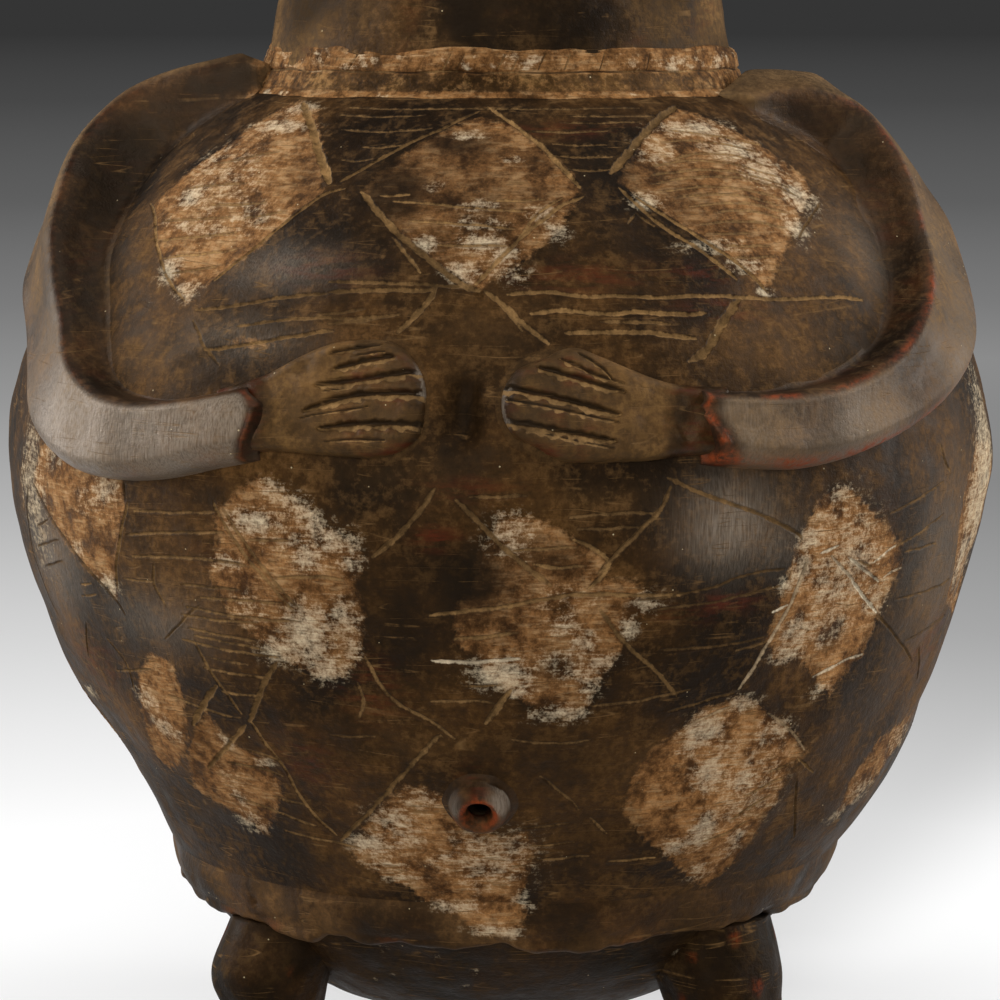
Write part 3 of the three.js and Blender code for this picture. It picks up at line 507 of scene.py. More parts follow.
# The lozenges as they stand in front: three on the shoulder, five below, five round the foot
lozenge((-47.5, 329.6), (-38.4, 326.8), (-30.5, 315), (-26.6, 302.7), (-33.4, 285.8), (-38.3, 276.1),
        (-40.9, 269.3), (-48.7, 280), (-58.1, 295.8), (-57, 306.8), (-52.5, 318.6))
lozenge((-3.3, 325), (3.5, 321.4), (8.8, 312.6), (11.7, 304.4), (8.2, 292.9), (2.5, 283.2), (-2.6, 275.8),
        (-8.2, 283.1), (-12.6, 289.9), (-20.3, 303), (-16.2, 313.6), (-10.3, 320.8))
lozenge((35.9, 326.9), (40.1, 326.4), (47.1, 319.4), (51.9, 311.8), (54.6, 305.4), (53.2, 301.2),
        (46.5, 294.5), (41.7, 287.4), (36.5, 278.4), (34.4, 273.3), (29, 286.4), (24, 295.8), (20, 303),
        (18.1, 306.6), (24.2, 317.6))
lozenge((-26.3, 219.2), (-23.7, 215.8), (-20.7, 210.5), (-18.6, 205.6), (-15.6, 201.4), (-13.8, 195.7),
        (-15.6, 188), (-14.6, 181.2), (-14.9, 173.6), (-16.2, 163.7), (-18.7, 156.1), (-21.3, 157.6),
        (-23.9, 161.7), (-27.2, 167.5), (-31, 176.3), (-33.1, 187.5), (-31.8, 197.3), (-31.5, 207.6))
lozenge((0, 210.1), (4.1, 208.6), (7.7, 202.3), (10.4, 198.2), (11.5, 194.1), (10.5, 189.8), (14.2, 189.8),
        (16.5, 181.6), (13.2, 172.8), (13.3, 166.7), (11.1, 158.1), (10.2, 150.3), (7.6, 145.2),
        (3.2, 150.4), (-0.7, 158.4), (-4.8, 170.3), (-4.9, 180.1), (-2.7, 187.1), (-2.3, 196.4))
lozenge((39.2, 213.9), (41.9, 208.9), (43.7, 203.7), (46.1, 200.5), (50.1, 191.9), (51.2, 184.4),
        (49.4, 174.9), (48.9, 167.8), (47.8, 157.2), (45.7, 153), (42.9, 145.6), (37.4, 158.5),
        (33.3, 160.4), (31.1, 167.5), (32.4, 185.2), (33.7, 199.1), (36.4, 210.9))
lozenge((30, 148.6), (37.6, 136.6), (41.6, 126.2), (39.1, 122.2), (39.1, 114.5), (37.8, 106.4),
        (36.4, 92.8), (33.3, 80.1), (25.8, 89.7), (21.7, 96.9), (17.8, 103.5), (14.9, 110.8), (15.2, 120),
        (17.2, 129.1), (18.9, 134.3), (22.5, 140), (24.3, 145))
lozenge((-13.2, 122.4), (-9.8, 120.7), (-7.2, 112), (-2.2, 104), (1.4, 106.2), (2.8, 100.4), (2.1, 88.5),
        (1.6, 77.1), (-0.1, 67.4), (-6, 68.4), (-10.2, 76.6), (-12.8, 80.1), (-15.4, 85.1), (-19.6, 88.1),
        (-24.5, 94.4), (-23, 101.4), (-18.3, 112.8))
lozenge((-45.8, 157.7), (-41.8, 156.1), (-41.5, 147.4), (-43.2, 134.3), (-47.7, 122.9), (-53.9, 115.8),
        (-55.8, 119.5), (-52.3, 133.8), (-50.1, 147.3))
lozenge((-38.7, 141), (-37.4, 131.2), (-32.8, 126.4), (-32.2, 116.1), (-38.8, 98.2), (-43.2, 103.1),
        (-50.5, 109.5), (-45.8, 125.4))
lozenge((-62, 221.1), (-52.6, 217.8), (-44.6, 215.6), (-44.3, 204.2), (-46.4, 194), (-48.5, 179.4),
        (-48.7, 174.5), (-52.6, 181.9), (-58.3, 191), (-62.2, 199.1), (-65.2, 206.5))
lozenge((69.4, 219.8), (75.3, 217.8), (80.7, 205.9), (80.8, 189), (76.7, 177.1), (79.4, 157.2),
        (67.3, 167.5), (66.2, 177), (65, 194.1), (65.9, 207.6))
lozenge((79.7, 129.4), (72.3, 115.4), (63.3, 107.3), (56.9, 98.9), (55.7, 96.5), (54.5, 111.3), (60, 122.9))

# Scored lines in front: width, filling (0 bare, 1 ochre, 2 kaolin), then azimuth and height
lines = [
    (2.6, 1, (-44.7, 328.7), (-36.6, 322.3), (-31.3, 315), (-26.1, 305.7)),
    (1, 0.2, (-55.6, 318.1), (-61.3, 311.2), (-68.1, 299.8)),
    (1.3, 0.8, (-38.2, 275.8), (-34.1, 285.4), (-29.8, 294.9), (-26.5, 301.5), (-23.2, 304)),
    (1, 0.9, (-60.1, 296.2), (-55.5, 292.1), (-51.6, 284.8), (-46.7, 276.3), (-41.3, 269.5)),
    (1.3, 0.55, (-4.2, 326.7), (-10.4, 321.4), (-14.8, 318.1), (-18.7, 313.6), (-24.5, 306)),
    (1.5, 1, (-2.4, 328.2), (1.5, 324.1), (5.6, 318.8), (8.8, 312.6), (11.7, 304.7)),
    (2, 0.7, (-20.4, 302.7), (-15.5, 294.7), (-12.5, 289.6), (-8.2, 282.8), (-4.4, 276.6), (-2.6, 275.2)),
    (1.2, 0.7, (-14.1, 290.1), (-11.8, 285), (-9.8, 279.9)),
    (1.4, 0.9, (11.9, 302.1), (8.5, 299.2), (6.1, 295.8), (3.1, 291.2), (0, 284.3), (-2.9, 276.9)),
    (1, 0.9, (8.8, 301.5), (5.3, 297.3), (3.2, 292.1)),
    (2.4, 0.6, (37.7, 328), (29.7, 323.4), (23.4, 317.3), (17.1, 308.9)),
    (1.4, 0.8, (17.8, 304.8), (21.7, 294.7), (24.2, 289.7), (27.2, 283.9), (30.2, 276.7)),
    (1.4, 0.9, (19.9, 301.8), (23.9, 295.2), (28.6, 286.2), (32.8, 277.9), (34.6, 273)),
    (1, 0.5, (19.1, 297.5), (21.2, 293.3)), (1, 0.6, (19, 297.2), (17.5, 294.3)),
    (1, 0.4, (53.6, 298.1), (46.6, 291.8), (43.1, 287.3)),
    (0.9, 0.5, (-31.1, 327.6), (-1, 327.6), (28.8, 327.6)),
    (0.9, 0.5, (-32.2, 325.4), (-22.8, 325.4), (-14.3, 325.8)),
    (0.9, 0.5, (-29.5, 321.3), (-20.4, 321.2), (-12.1, 321.7)),
    (0.9, 0.5, (-23.8, 316.7), (-19.8, 316.5), (-16.1, 316.9)),
    (0.9, 0.5, (-26.2, 312.8), (-23.3, 312.6), (-20.6, 312.9)),
    (0.9, 0.5, (11, 323.7), (18.5, 323.3), (26.5, 323.5)),
    (0.9, 0.5, (5.8, 321.1), (12.3, 320.8), (19.1, 321)),
    (0.9, 0.5, (8.7, 317.3), (13.3, 316.9), (18.1, 317.1)),
    (0.9, 0.5, (8.3, 313.8), (13.2, 313.4), (18.3, 313.6)),
    (0.9, 0.5, (10.6, 309.9), (13.9, 309.6), (17.4, 309.8)),
    (0.9, 0.5, (13.3, 325.5), (21.6, 325.1), (30.7, 325.2)), (0.9, 0.8, (-17.3, 301.9), (-12.9, 302.3)),
    (0.9, 0.9, (-15.2, 300.2), (-8.8, 299.8), (-0.5, 298.1), (3.8, 297.6)),
    (0.9, 0.8, (-1, 300.5), (6.5, 301)), (0.9, 0.9, (-12.2, 294.8), (-6.7, 294.6), (2, 292.7)),
    (0.9, 0.8, (-8.1, 288.3), (0.8, 288.1)), (0.9, 0.9, (-51.7, 286), (-44.2, 289), (-38.3, 290.7)),
    (0.9, 0.9, (-49.2, 281.5), (-42.4, 284), (-36.9, 285.8)), (0.9, 0.8, (-46.1, 297.9), (-35.7, 299.8)),
    (0.9, 0.8, (-38.3, 295.2), (-31.3, 297.2)), (0.8, 0.7, (-53.4, 291.7), (-40.6, 295.3)),
    (0.8, 0.7, (-54.2, 301.5), (-41.6, 304.8)), (0.8, 0.7, (-46.1, 277.3), (-38.7, 280.6)),
    (0.8, 0.6, (-51.6, 309.4), (-38.8, 314.1)), (0.9, 0.8, (31.2, 321), (38.8, 319.8), (50, 315.6)),
    (0.9, 0.8, (28.4, 317.5), (36.4, 317.8), (48, 313.6)),
    (0.9, 0.8, (29.1, 312.7), (34.5, 313.9), (41.4, 312.7), (47.6, 309.3)),
    (0.9, 0.8, (24.8, 311), (31.7, 312), (38, 310.5), (48.1, 306.2)),
    (0.9, 0.8, (23.4, 308.4), (32.4, 309), (41.4, 306.7), (48.7, 303.1)),
    (0.9, 0.8, (23.1, 305.8), (30.4, 307), (41.1, 305.2), (49.7, 300.6)),
    (0.9, 0.8, (23.9, 303.4), (32.5, 303.9), (44.6, 299.8)),
    (0.9, 0.8, (25.9, 301.6), (34.4, 301.4), (43.3, 297.5)),
    (0.9, 0.8, (27.6, 298.6), (36.2, 298.6), (44.5, 295)),
    (0.9, 0.8, (30.9, 296.3), (36, 296.5), (41.9, 294)),
    (0.9, 0.8, (28, 293.2), (35.4, 293.3), (41.9, 291)), (0.9, 0.8, (28.4, 290.3), (35.6, 289.8)),
    (0.9, 0.8, (29.7, 286.7), (37.6, 286)), (0.9, 0.8, (31.2, 283), (37.7, 283)),
    (1.5, 0.6, (-20.7, 273.6), (-14.5, 274.6), (-9.3, 274.8), (-7.5, 275.7)),
    (1.8, 0.6, (-7.6, 276), (-8.8, 270.8), (-10.4, 265.9), (-11.6, 262.6)),
    (1.2, 0.5, (-21, 276.5), (-14.6, 276.6), (-8.1, 276.5), (-2.6, 275.5)),
    (1.3, 0.5, (-38.8, 266.9), (-32.4, 269.1), (-27.8, 271.3), (-20.7, 273.3)),
    (1, 0.4, (-38.5, 263.9), (-36, 258.3), (-34.2, 254.2), (-32.6, 250.8)),
    (1.2, 0.7, (-35, 254.9), (-29.5, 257.7), (-23.3, 260.7), (-19.1, 262.2)),
    (1.2, 0.5, (-31.4, 262.5), (-25, 264.9), (-18.7, 266), (-12.2, 267.5)),
    (1, 0.3, (-21.3, 266.4), (-18.3, 268), (-15.9, 269.3)),
    (1, 0.4, (-19.8, 264.2), (-15.1, 266.2), (-11.6, 267.8)),
    (1.6, 0.8, (-1.8, 275.2), (0.6, 270.9), (3.4, 264.3), (5.4, 260)),
    (1.3, 0.7, (-1.2, 274.6), (0.9, 269.5), (2.5, 263.8)),
    (1.3, 0.9, (0.9, 274.3), (5.4, 274.9), (9.5, 273.3), (14.1, 273.1), (19.3, 272), (24.5, 272.2),
     (29.8, 271.7), (37.3, 270.6), (44.3, 270), (49.6, 268)),
    (1.5, 0.9, (3.6, 268.9), (7, 269.4), (11.6, 268.1), (16.4, 267.9), (21.3, 266.9), (24.6, 267.3)),
    (1.5, 0.8, (7.4, 262.8), (11.4, 262.7), (16, 262.1), (19.6, 261), (22.6, 259.9)),
    (1.1, 0.5, (11.5, 265.8), (16.2, 265), (19.8, 264.2)),
    (2.6, 0.6, (29.7, 270.9), (27.4, 266.7), (25.2, 261.1), (23.5, 256.3), (21.3, 253.6)),
    (1.6, 0.5, (-6.6, 217.7), (-8.2, 211.4), (-10.5, 203.7), (-13.2, 197)),
    (1.6, 0.6, (-4.5, 214.6), (-2.3, 208.6), (0, 201), (2.7, 193.9), (5.4, 188)),
    (1.5, 0.5, (18, 217.4), (16.5, 209.8), (14.6, 204.8), (12.6, 198.9), (10.3, 191.4)),
    (1.3, 0.5, (17.6, 220.1), (20, 216.9), (22.3, 213.9), (25.2, 211), (28.2, 207.4), (32.9, 201.1),
     (34, 198.4)),
    (1.3, 0.6, (10.8, 180.1), (13.6, 170.2), (15.3, 165.5), (18.4, 158.1), (20.8, 150.8)),
    (1.4, 0.8, (-7.5, 178.7), (-3.2, 180.2), (0.6, 181.5), (4.4, 183.6), (8.1, 185), (13.4, 184.8),
     (19.4, 184)),
    (1.2, 0.8, (-5, 171.2), (-1.1, 172.3), (2, 173.5)),
    (1.3, 1.6, (-7.7, 164), (-2.8, 164.2), (2.1, 165.2)), (1, 0.6, (-4.3, 156.3), (0.2, 156.7)),
    (1, 0.6, (-8.1, 150.8), (-3.5, 151.4), (-0.7, 150.8)),
    (2, 0.7, (1.1, 155.1), (-0.3, 149.8), (-1.8, 143.8)), (1.2, 0.9, (3.6, 194.5), (6.2, 193.5), (9, 194)),
    (1, 0.6, (1.4, 198.9), (4.6, 199.4), (8, 199.9)), (1, 0.5, (-3.1, 215.5), (2.7, 215.8)),
    (1, 0.4, (7.2, 209.1), (11.4, 210), (15.9, 209.9)), (1, 0.4, (8, 205.4), (14.6, 205.7)),
    (1.4, 0.8, (7.6, 202.4), (10.1, 198.8), (11.4, 195), (10.7, 190.7), (9.4, 186.8)),
    (1, 0.7, (-31.6, 211.3), (-31.1, 206.5), (-27.9, 193.5), (-25.3, 186.8), (-22.6, 178.1)),
    (1, 0.7, (-30.5, 208.5), (-29.9, 206.1), (-27, 194.3), (-24.9, 188.1), (-22.1, 179.5)),
    (1, 0.7, (-24.6, 188.5), (-20.5, 189.8), (-16.6, 189.5)), (1, 0.6, (-27.5, 199.5), (-22.4, 200.4)),
    (1.8, 0.6, (-25.8, 161.6), (-28.1, 154.1), (-31.4, 141.9), (-32.5, 139.5)),
    (1.2, 0.7, (-15.2, 164.5), (-13.5, 154.6), (-11.8, 149.5), (-8.4, 144.1), (-5.6, 138.2)),
    (1.4, 0.7, (-7.2, 138.8), (-8.2, 137.7), (-14.8, 122.1), (-25.7, 99.6)),
    (1.1, 0.5, (-16.5, 155.8), (-16.1, 150.6), (-16.9, 144.1)),
    (1, 0.6, (-43, 205.2), (-37.5, 206), (-31.5, 207.3)),
    (1, 0.6, (-44.4, 197.5), (-37.8, 199.6), (-30.8, 201)),
    (1, 0.6, (-44.1, 190.6), (-35.3, 192.1), (-27.9, 191.3)), (0.9, 0.5, (-46.7, 182.3), (-41.9, 182.6)),
    (0.9, 0.7, (-35.2, 179.7), (-29.4, 180.5), (-24, 180.7)), (0.9, 0.5, (-37.4, 183.2), (-29.2, 183.7)),
    (0.9, 0.6, (-37, 176.3), (-29.7, 175.3), (-22.2, 175)),
    (0.9, 0.6, (-38, 173.7), (-32.5, 173.6), (-27.4, 173.9)),
    (1, 0.6, (-37.2, 169.7), (-32.9, 169), (-27.9, 168)),
    (1, 0.7, (-38.6, 165.4), (-32.2, 164.3), (-25.4, 163)),
    (0.9, 0.6, (-36.5, 167.6), (-31.5, 166.8), (-26.9, 165.3)),
    (1, 0.7, (-36.2, 157.2), (-31.3, 156.6), (-26.9, 155.7)), (1, 0.7, (-34.6, 149.7), (-29.2, 149.2)),
    (0.8, 0.5, (-35.4, 161.1), (-29.6, 160)),
    (1, 0.6, (-41, 189.2), (-41.7, 182.9), (-40.9, 178), (-40.1, 175)),
    (2, 0.7, (-35.1, 151.5), (-37.8, 145.3), (-41.9, 135.8)),
    (1.1, 0.6, (-36.7, 165.6), (-35.8, 159.3), (-34.3, 151.8), (-32.9, 142.1)),
    (1.5, 0.7, (-33.1, 138), (-37.4, 130.1), (-43.9, 119.8)),
    (1.2, 0.7, (-32.1, 139.6), (-31.3, 132), (-30.2, 124.7), (-29.5, 111.6), (-26.2, 101.3)),
    (1, 0.5, (-35.4, 129.1), (-32.5, 127.9), (-29.9, 125.5)),
    (1, 0.5, (-39.6, 122.8), (-34.9, 122.3), (-31.1, 120.6)),
    (1, 0.6, (-44.6, 144.7), (-39.4, 142.8), (-35.4, 140.7), (-33.4, 140.6)),
    (1, 0.6, (-42.9, 110.3), (-35.3, 107.3), (-28.7, 103.9)), (1, 0.5, (-34.4, 112.6), (-29.6, 111.2)),
    (1, 0.6, (-34.9, 100.6), (-29.1, 99.1), (-22.9, 97.7)),
    (1.2, 1.9, (42.7, 183), (45.4, 176.9), (48.7, 170.2)),
    (1, 1.5, (38.6, 192.1), (40.7, 187.1), (42.9, 182.6)),
    (1, 1.7, (41, 191.2), (44.2, 186), (47.6, 180.7)),
    (1, 1.7, (45.4, 187.6), (47.3, 190.2), (49.3, 192.1)),
    (0.9, 1.5, (48.4, 182.1), (49.7, 183.6), (51.4, 184.3)),
    (1.4, 1.3, (35.1, 192.1), (34.7, 187.2), (33.6, 178.8), (32.4, 171.4), (30.5, 160.5), (29, 151.3)),
    (1, 1.8, (31.1, 176.6), (33.1, 178)), (1, 1.6, (39.7, 152.4), (43.9, 155.3), (47.8, 157.2)),
    (1.2, 1.8, (36.8, 193.3), (39.5, 195.1)), (1, 0.4, (48.9, 169.5), (55, 159.2), (62, 148.9)),
    (1, 1, (45.4, 186.3), (42.7, 189.7)), (1, 0.4, (46.9, 203.4), (51.7, 206.1), (58.3, 209.7)),
    (1, 0.5, (49.3, 192.1), (53.7, 195.2), (59.3, 198.8)), (1, 0.5, (51.2, 189.6), (58.2, 190)),
    (1, 0.4, (51.6, 173.8), (58.3, 174.5), (65.1, 175.8)),
    (1.1, 0.4, (57.2, 222.5), (58.3, 216.8), (60.1, 212.1)), (1, 0.4, (62.4, 154.1), (67.5, 140.2)),
    (1, 0.3, (15, 183.1), (21.8, 185.2), (27, 188.9), (32.1, 190)),
    (1, 0.3, (16.2, 179.8), (24.3, 181.6), (31.7, 184.7)), (1, 0.4, (27.2, 164.9), (31.7, 167)),
    (1, 0.3, (17.9, 166.7), (25.1, 167), (30.9, 168.5)),
    (1, 0.3, (57, 158.4), (62.2, 160.2), (69.7, 161.4)),
    (1, 0.4, (19.9, 145.9), (23.9, 147.8), (28.4, 150.1)),
    (1, 0.4, (10.3, 149.6), (16.2, 150.6), (22.3, 152.8)),
    (1, 1.2, (34.2, 141.7), (37.7, 135.9), (41.2, 127.8)), (1, 0.9, (40.3, 125), (44.5, 117.9)),
    (1, 0.3, (41.4, 116.9), (43.5, 105.1), (47.3, 93.5)),
    (1, 0.8, (13.7, 94.3), (17.7, 94.8), (20.7, 95.3)), (1, 0.7, (10.1, 110), (12.7, 103.9)),
    (1, 1.2, (23, 139.9), (26.2, 143.2), (28.8, 145.3)), (1, 1, (35.8, 121.3), (39.1, 123)),
    (1, 1, (32.6, 114.2), (35.7, 116.8), (38.7, 118.2)),
    (1, 0.9, (31.1, 105.7), (33.9, 109.9), (37, 112.8)),
    (0.9, 0.8, (27.1, 99.6), (31.7, 101.9), (35.1, 104.5)), (0.8, 0.4, (0.6, 107.7), (7.3, 108.1)),
    (0.8, 0.5, (2, 100.4), (8.3, 100.8)), (0.8, 0.5, (3.1, 95.2), (10.8, 96.1)),
    (0.8, 0.6, (-0.3, 93), (1.8, 93)), (0.8, 0.4, (6.9, 71.1), (11, 71.9)),
    (0.8, 0.4, (-21.2, 137.9), (-15.5, 138.2)), (0.8, 0.5, (6.8, 137.5), (10.5, 138.5)),
    (0.8, 0.4, (1.2, 138.4), (6.8, 137.5)), (0.9, 0.5, (4.1, 126.3), (6.9, 119.2), (8.7, 113)),
    (1.2, 0.1, (-44.6, 215), (-44.2, 208)),
    (1.2, 0.7, (-43.8, 207.4), (-45.7, 195.2), (-47.5, 186.3), (-48.5, 178.1)),
    (1.1, 0.2, (-65.2, 207.1), (-60.3, 195.8), (-55.6, 187.4), (-49.6, 174.8), (-48.5, 169.6)),
    (1, 0.2, (-67.3, 205.8), (-70.6, 186.7), (-69.3, 175.8), (-66.9, 162.6)),
    (0.9, 0.2, (-66.1, 192.7), (-61.7, 196.3)), (0.9, 0.2, (-67.6, 185.5), (-59.7, 190.5)),
    (0.9, 0.2, (-66.2, 179.4), (-59.6, 183.6)), (0.8, 0.6, (-56.4, 177.2), (-53.6, 178.3)),
    (0.8, 0.6, (-57, 173), (-53.1, 174.8)), (0.9, 0.2, (-57.9, 164), (-61.1, 151.3)),
    (1, 0.4, (-54.3, 159.5), (-51.5, 152.2), (-51.6, 143.7)), (0.8, 0.4, (-54.9, 148.5), (-46.4, 152.4)),
    (0.8, 0.4, (-41.8, 164), (-37.9, 171.8), (-35, 177.5))]
for width, fill, *places in lines:
    score(width, fill, *places)

# Kaolin as it has survived: azimuth, height, half width and half height, strength
kaolin = [
    (41, 186, 13, 20, 0.62), (-3.5, 97, 13, 13, 0.6), (34, 118, 12, 17, 0.42), (-66, 205, 11, 22, 0.62),
    (74, 205, 13, 32, 1), (-44, 304, 13, 18, 0.35), (-43.7, 321.4, 12, 2.3, 0.9),
    (-51, 299.9, 4.8, 4, 0.9), (-46.8, 278.4, 3.9, 4, 0.9), (-45.2, 291.6, 16.6, 2.7, 0.5),
    (-46, 306.7, 14.5, 4.7, 0.45), (-37.8, 295.2, 12.7, 6.7, 0.4), (-41.9, 272.4, 4.5, 2.7, 0.8),
    (-43.7, 327.2, 6.5, 2.7, 0.8), (-53.4, 310.8, 7.9, 6.7, 0.45), (-5.1, 319.7, 4.4, 1.3, 0.8),
    (2.2, 312.4, 2, 1, 0.6), (-9.4, 305, 2, 1.3, 0.6), (-2.8, 299.3, 4.7, 1.3, 0.8),
    (-2.1, 288.6, 6.7, 2.3, 0.85), (-9.8, 288.8, 2.7, 2.7, 0.8), (-4.9, 280.3, 4.7, 3.7, 0.7),
    (0.3, 284.9, 4.7, 4, 0.7), (7.6, 291.7, 2.7, 2.7, 0.8), (-2.9, 294.1, 8.7, 1.7, 0.5),
    (5.5, 297.2, 4, 2.7, 0.6), (1.2, 279.5, 6.7, 2.7, 0.4), (37.2, 321.4, 13.5, 3, 0.95),
    (42.4, 314.5, 10, 4.7, 0.9), (44.8, 306.8, 8.5, 4, 0.9), (49.5, 300.3, 6.7, 6, 0.9),
    (43.9, 290.8, 3.7, 4.7, 0.9), (21.1, 300.6, 4.3, 2.7, 0.9), (28.4, 286.5, 10.7, 1.7, 0.7),
    (32.3, 280.6, 7.1, 2, 0.6), (26.2, 315.1, 6, 5.4, 0.5), (33.9, 273.4, 2.4, 1.3, 0.8),
    (45.5, 311, 9.6, 2.7, 0.6), (-26.8, 205.2, 7.5, 3, 0.95), (-21.8, 210.9, 4.7, 3, 0.8),
    (-19.5, 206.1, 4.3, 2.7, 0.8), (-17.1, 201.5, 6, 3, 0.85), (-20.5, 195.4, 4.3, 3.4, 0.85),
    (-21.7, 170.9, 6.5, 9.4, 1), (-17.2, 177.1, 4.2, 5.4, 0.8), (-25.4, 165, 5.9, 3.4, 0.9),
    (-19.9, 159.5, 5, 3.4, 0.9), (-31.1, 191.8, 5.5, 1.7, 0.6), (-24.6, 215.6, 3.7, 2.7, 0.7),
    (-15.6, 195.5, 3.5, 3.4, 0.6), (-28.3, 177.6, 6.1, 5.4, 0.4), (-16.7, 166.9, 2.8, 4, 0.6),
    (-23, 200.6, 10.9, 3.4, 0.45), (0, 160, 8, 4.4, 1), (2.1, 155.1, 3.4, 2, 0.9),
    (6.9, 175.3, 3.7, 2.7, 0.85), (9.3, 169.3, 3.1, 2.7, 0.85), (6.1, 164.7, 5.4, 2, 0.6),
    (11.1, 163, 4.8, 2.7, 0.7), (14.2, 174.9, 2.1, 3, 0.85), (15.9, 182.3, 4.2, 3, 0.7),
    (6.4, 147.3, 8.1, 2, 0.8), (1, 204.1, 6.7, 6, 0.6), (10.2, 154.6, 2.7, 4.7, 0.5),
    (6.9, 183.8, 10.1, 3.4, 0.35), (-2.2, 164.2, 4, 1.3, 0.8), (8.4, 160.7, 6.8, 3.4, 0.5),
    (39.2, 212, 4.3, 2, 0.7), (35.3, 198.1, 4.9, 2.7, 0.95), (42.7, 189.7, 10.9, 4.7, 0.75),
    (34.6, 188.8, 3.3, 5.4, 0.8), (35.4, 168.3, 4.9, 4.7, 0.8), (37.5, 169.6, 4.2, 2, 0.9),
    (35.1, 161.2, 5.7, 2.3, 0.85), (32.5, 184.5, 2.4, 2, 0.9), (47.8, 175.1, 5, 6, 0.6),
    (37.9, 203.7, 5.9, 4.7, 0.45), (40.2, 164.5, 6.1, 2.7, 0.5), (41.2, 147.6, 3.6, 1.7, 0.8),
    (41, 177.3, 8.9, 6.7, 0.35), (25.2, 138.1, 5.9, 4.7, 1), (23.4, 132.3, 3.7, 2, 0.8),
    (26.6, 122.6, 5.2, 5.4, 0.9), (32.1, 119.6, 4.7, 4, 0.9), (26.9, 103.3, 3.8, 6.7, 1),
    (23.1, 98.8, 3.6, 2.3, 0.9), (30.1, 146.3, 4.6, 2.7, 0.8), (35.6, 135.9, 6.6, 4, 0.6),
    (33.3, 97.1, 3.6, 5.4, 0.7), (34.1, 126, 8.1, 6.7, 0.4), (29.9, 87.8, 4.6, 3.4, 0.6),
    (30.6, 109.5, 5.4, 4.7, 0.5), (28.6, 130.4, 4.6, 3.4, 0.6), (-20.8, 99.3, 6.4, 3.4, 1),
    (-16.8, 109.1, 7.7, 4.7, 0.7), (-16.6, 87.9, 5.6, 1.7, 0.7), (-9.3, 78.2, 6.8, 1.7, 0.85),
    (-4.2, 70.1, 6, 1.7, 0.9), (2.1, 81, 1.7, 3.4, 0.8), (-12, 116.9, 4.8, 4, 0.6),
    (-14.8, 104, 4.8, 6, 0.6), (-0.8, 69.4, 2.7, 2, 0.9), (-19.2, 92.3, 7.1, 2, 0.6),
    (-10.8, 96.1, 4.1, 2, 0.5), (-49.3, 141.9, 5.1, 3, 0.75), (-48.3, 132.7, 4, 4, 0.75),
    (-46, 130.8, 1.4, 1, 0.9), (-37.9, 131, 2.1, 1.7, 0.9), (-33.1, 124.6, 2.8, 1.3, 0.8),
    (-41.2, 101.3, 5.8, 2.7, 0.75), (-40.9, 116.7, 6.2, 4.7, 0.3), (-41.2, 109.5, 3.6, 3.4, 0.5),
    (-58.4, 218.3, 7.7, 2.7, 0.6), (-47.7, 210.4, 6, 4, 0.7), (-54.8, 189.6, 2.9, 1.7, 0.8),
    (-49.9, 179.3, 4.2, 2.7, 0.9), (-50.7, 206.4, 10.6, 4.7, 0.35), (69.6, 200, 5.8, 13.4, 0.9),
    (69.5, 180, 5.7, 10.1, 0.9), (70.4, 214.5, 4, 4.7, 0.8), (70.5, 118.1, 12, 6.7, 0.5),
    (60, 105.3, 9.4, 4.7, 0.6), (55.6, 98.3, 4.7, 2, 0.7)]
for azimuth, z, wide, tall, strength in kaolin:
    dab("kaolin", 0.7 * strength, azimuth, z, wide * 1.15 + 0.8, tall * 1.15 + 0.8, 1.2)

# The same lattice goes on round the back, by the same hand
dice = np.random.default_rng(17)
for azimuth, z, wide, tall in [
        (114, 300, 27, 52), (156, 299, 30, 50), (-160, 300, 28, 52), (-116, 301, 27, 50),
        (104, 186, 26, 62), (136, 180, 25, 58), (168, 184, 27, 60), (-161, 181, 25, 60),
        (-130, 186, 26, 58), (-97, 182, 25, 60), (92, 118, 24, 52), (120, 112, 25, 48), (151, 116, 26, 52),
        (-177, 112, 25, 50), (-146, 116, 26, 52), (-113, 113, 25, 50), (-82, 117, 24, 50)]:
    mean_r = float(wall_radius(z))
    corners = []
    for k in range(8):
        turn = math.radians(k * 45)
        reach = (1 if k % 2 == 0 else 0.74) * dice.uniform(0.9, 1.06)
        corners.append((azimuth + math.degrees(wide / mean_r * math.cos(turn) * reach),
                        min(z + tall / 2 * math.sin(turn) * reach, shoulder_z - 3)))
    lozenge(*corners)
    for k in range(0, 8, 2):
        p, q = np.array(corners[k]), np.array(corners[(k + 2) % 8])
        for gap in (0.4, 3.4)[: 1 + int(dice.uniform() < 0.55)]:
            away = np.array([math.cos(math.radians(k * 45 + 45)) * gap * 0.3,
                             math.sin(math.radians(k * 45 + 45)) * gap])
            score(dice.uniform(0.9, 1.8), dice.uniform(0.4, 1),
                  *[tuple(p + (q - p) * t + away) for t in (-0.04, 0.5, 1.05)])
    for row in np.arange(-tall * 0.38, tall * 0.38, dice.uniform(4, 5.4)):
        half = math.degrees(wide / mean_r) * (1 - abs(row) / tall * 1.5) * dice.uniform(0.65, 1.1)
        tip = dice.uniform(-1.2, 1.2)
        score(dice.uniform(0.8, 1.1), dice.uniform(0.4, 0.9), (azimuth - half, z + row - tip),
              (azimuth, z + row + dice.uniform(-0.6, 0.6)), (azimuth + half, z + row + tip))
    for _ in range(11):
        dab("kaolin", dice.uniform(0.35, 0.78), azimuth + dice.normal() * 4.5,
            z + dice.normal() * tall * 0.2,
            dice.uniform(3, 9), dice.uniform(2, 6), 1.4)
    dab("soot", 0.5, azimuth + 18, z + dice.uniform(-14, 14), 16, 14)
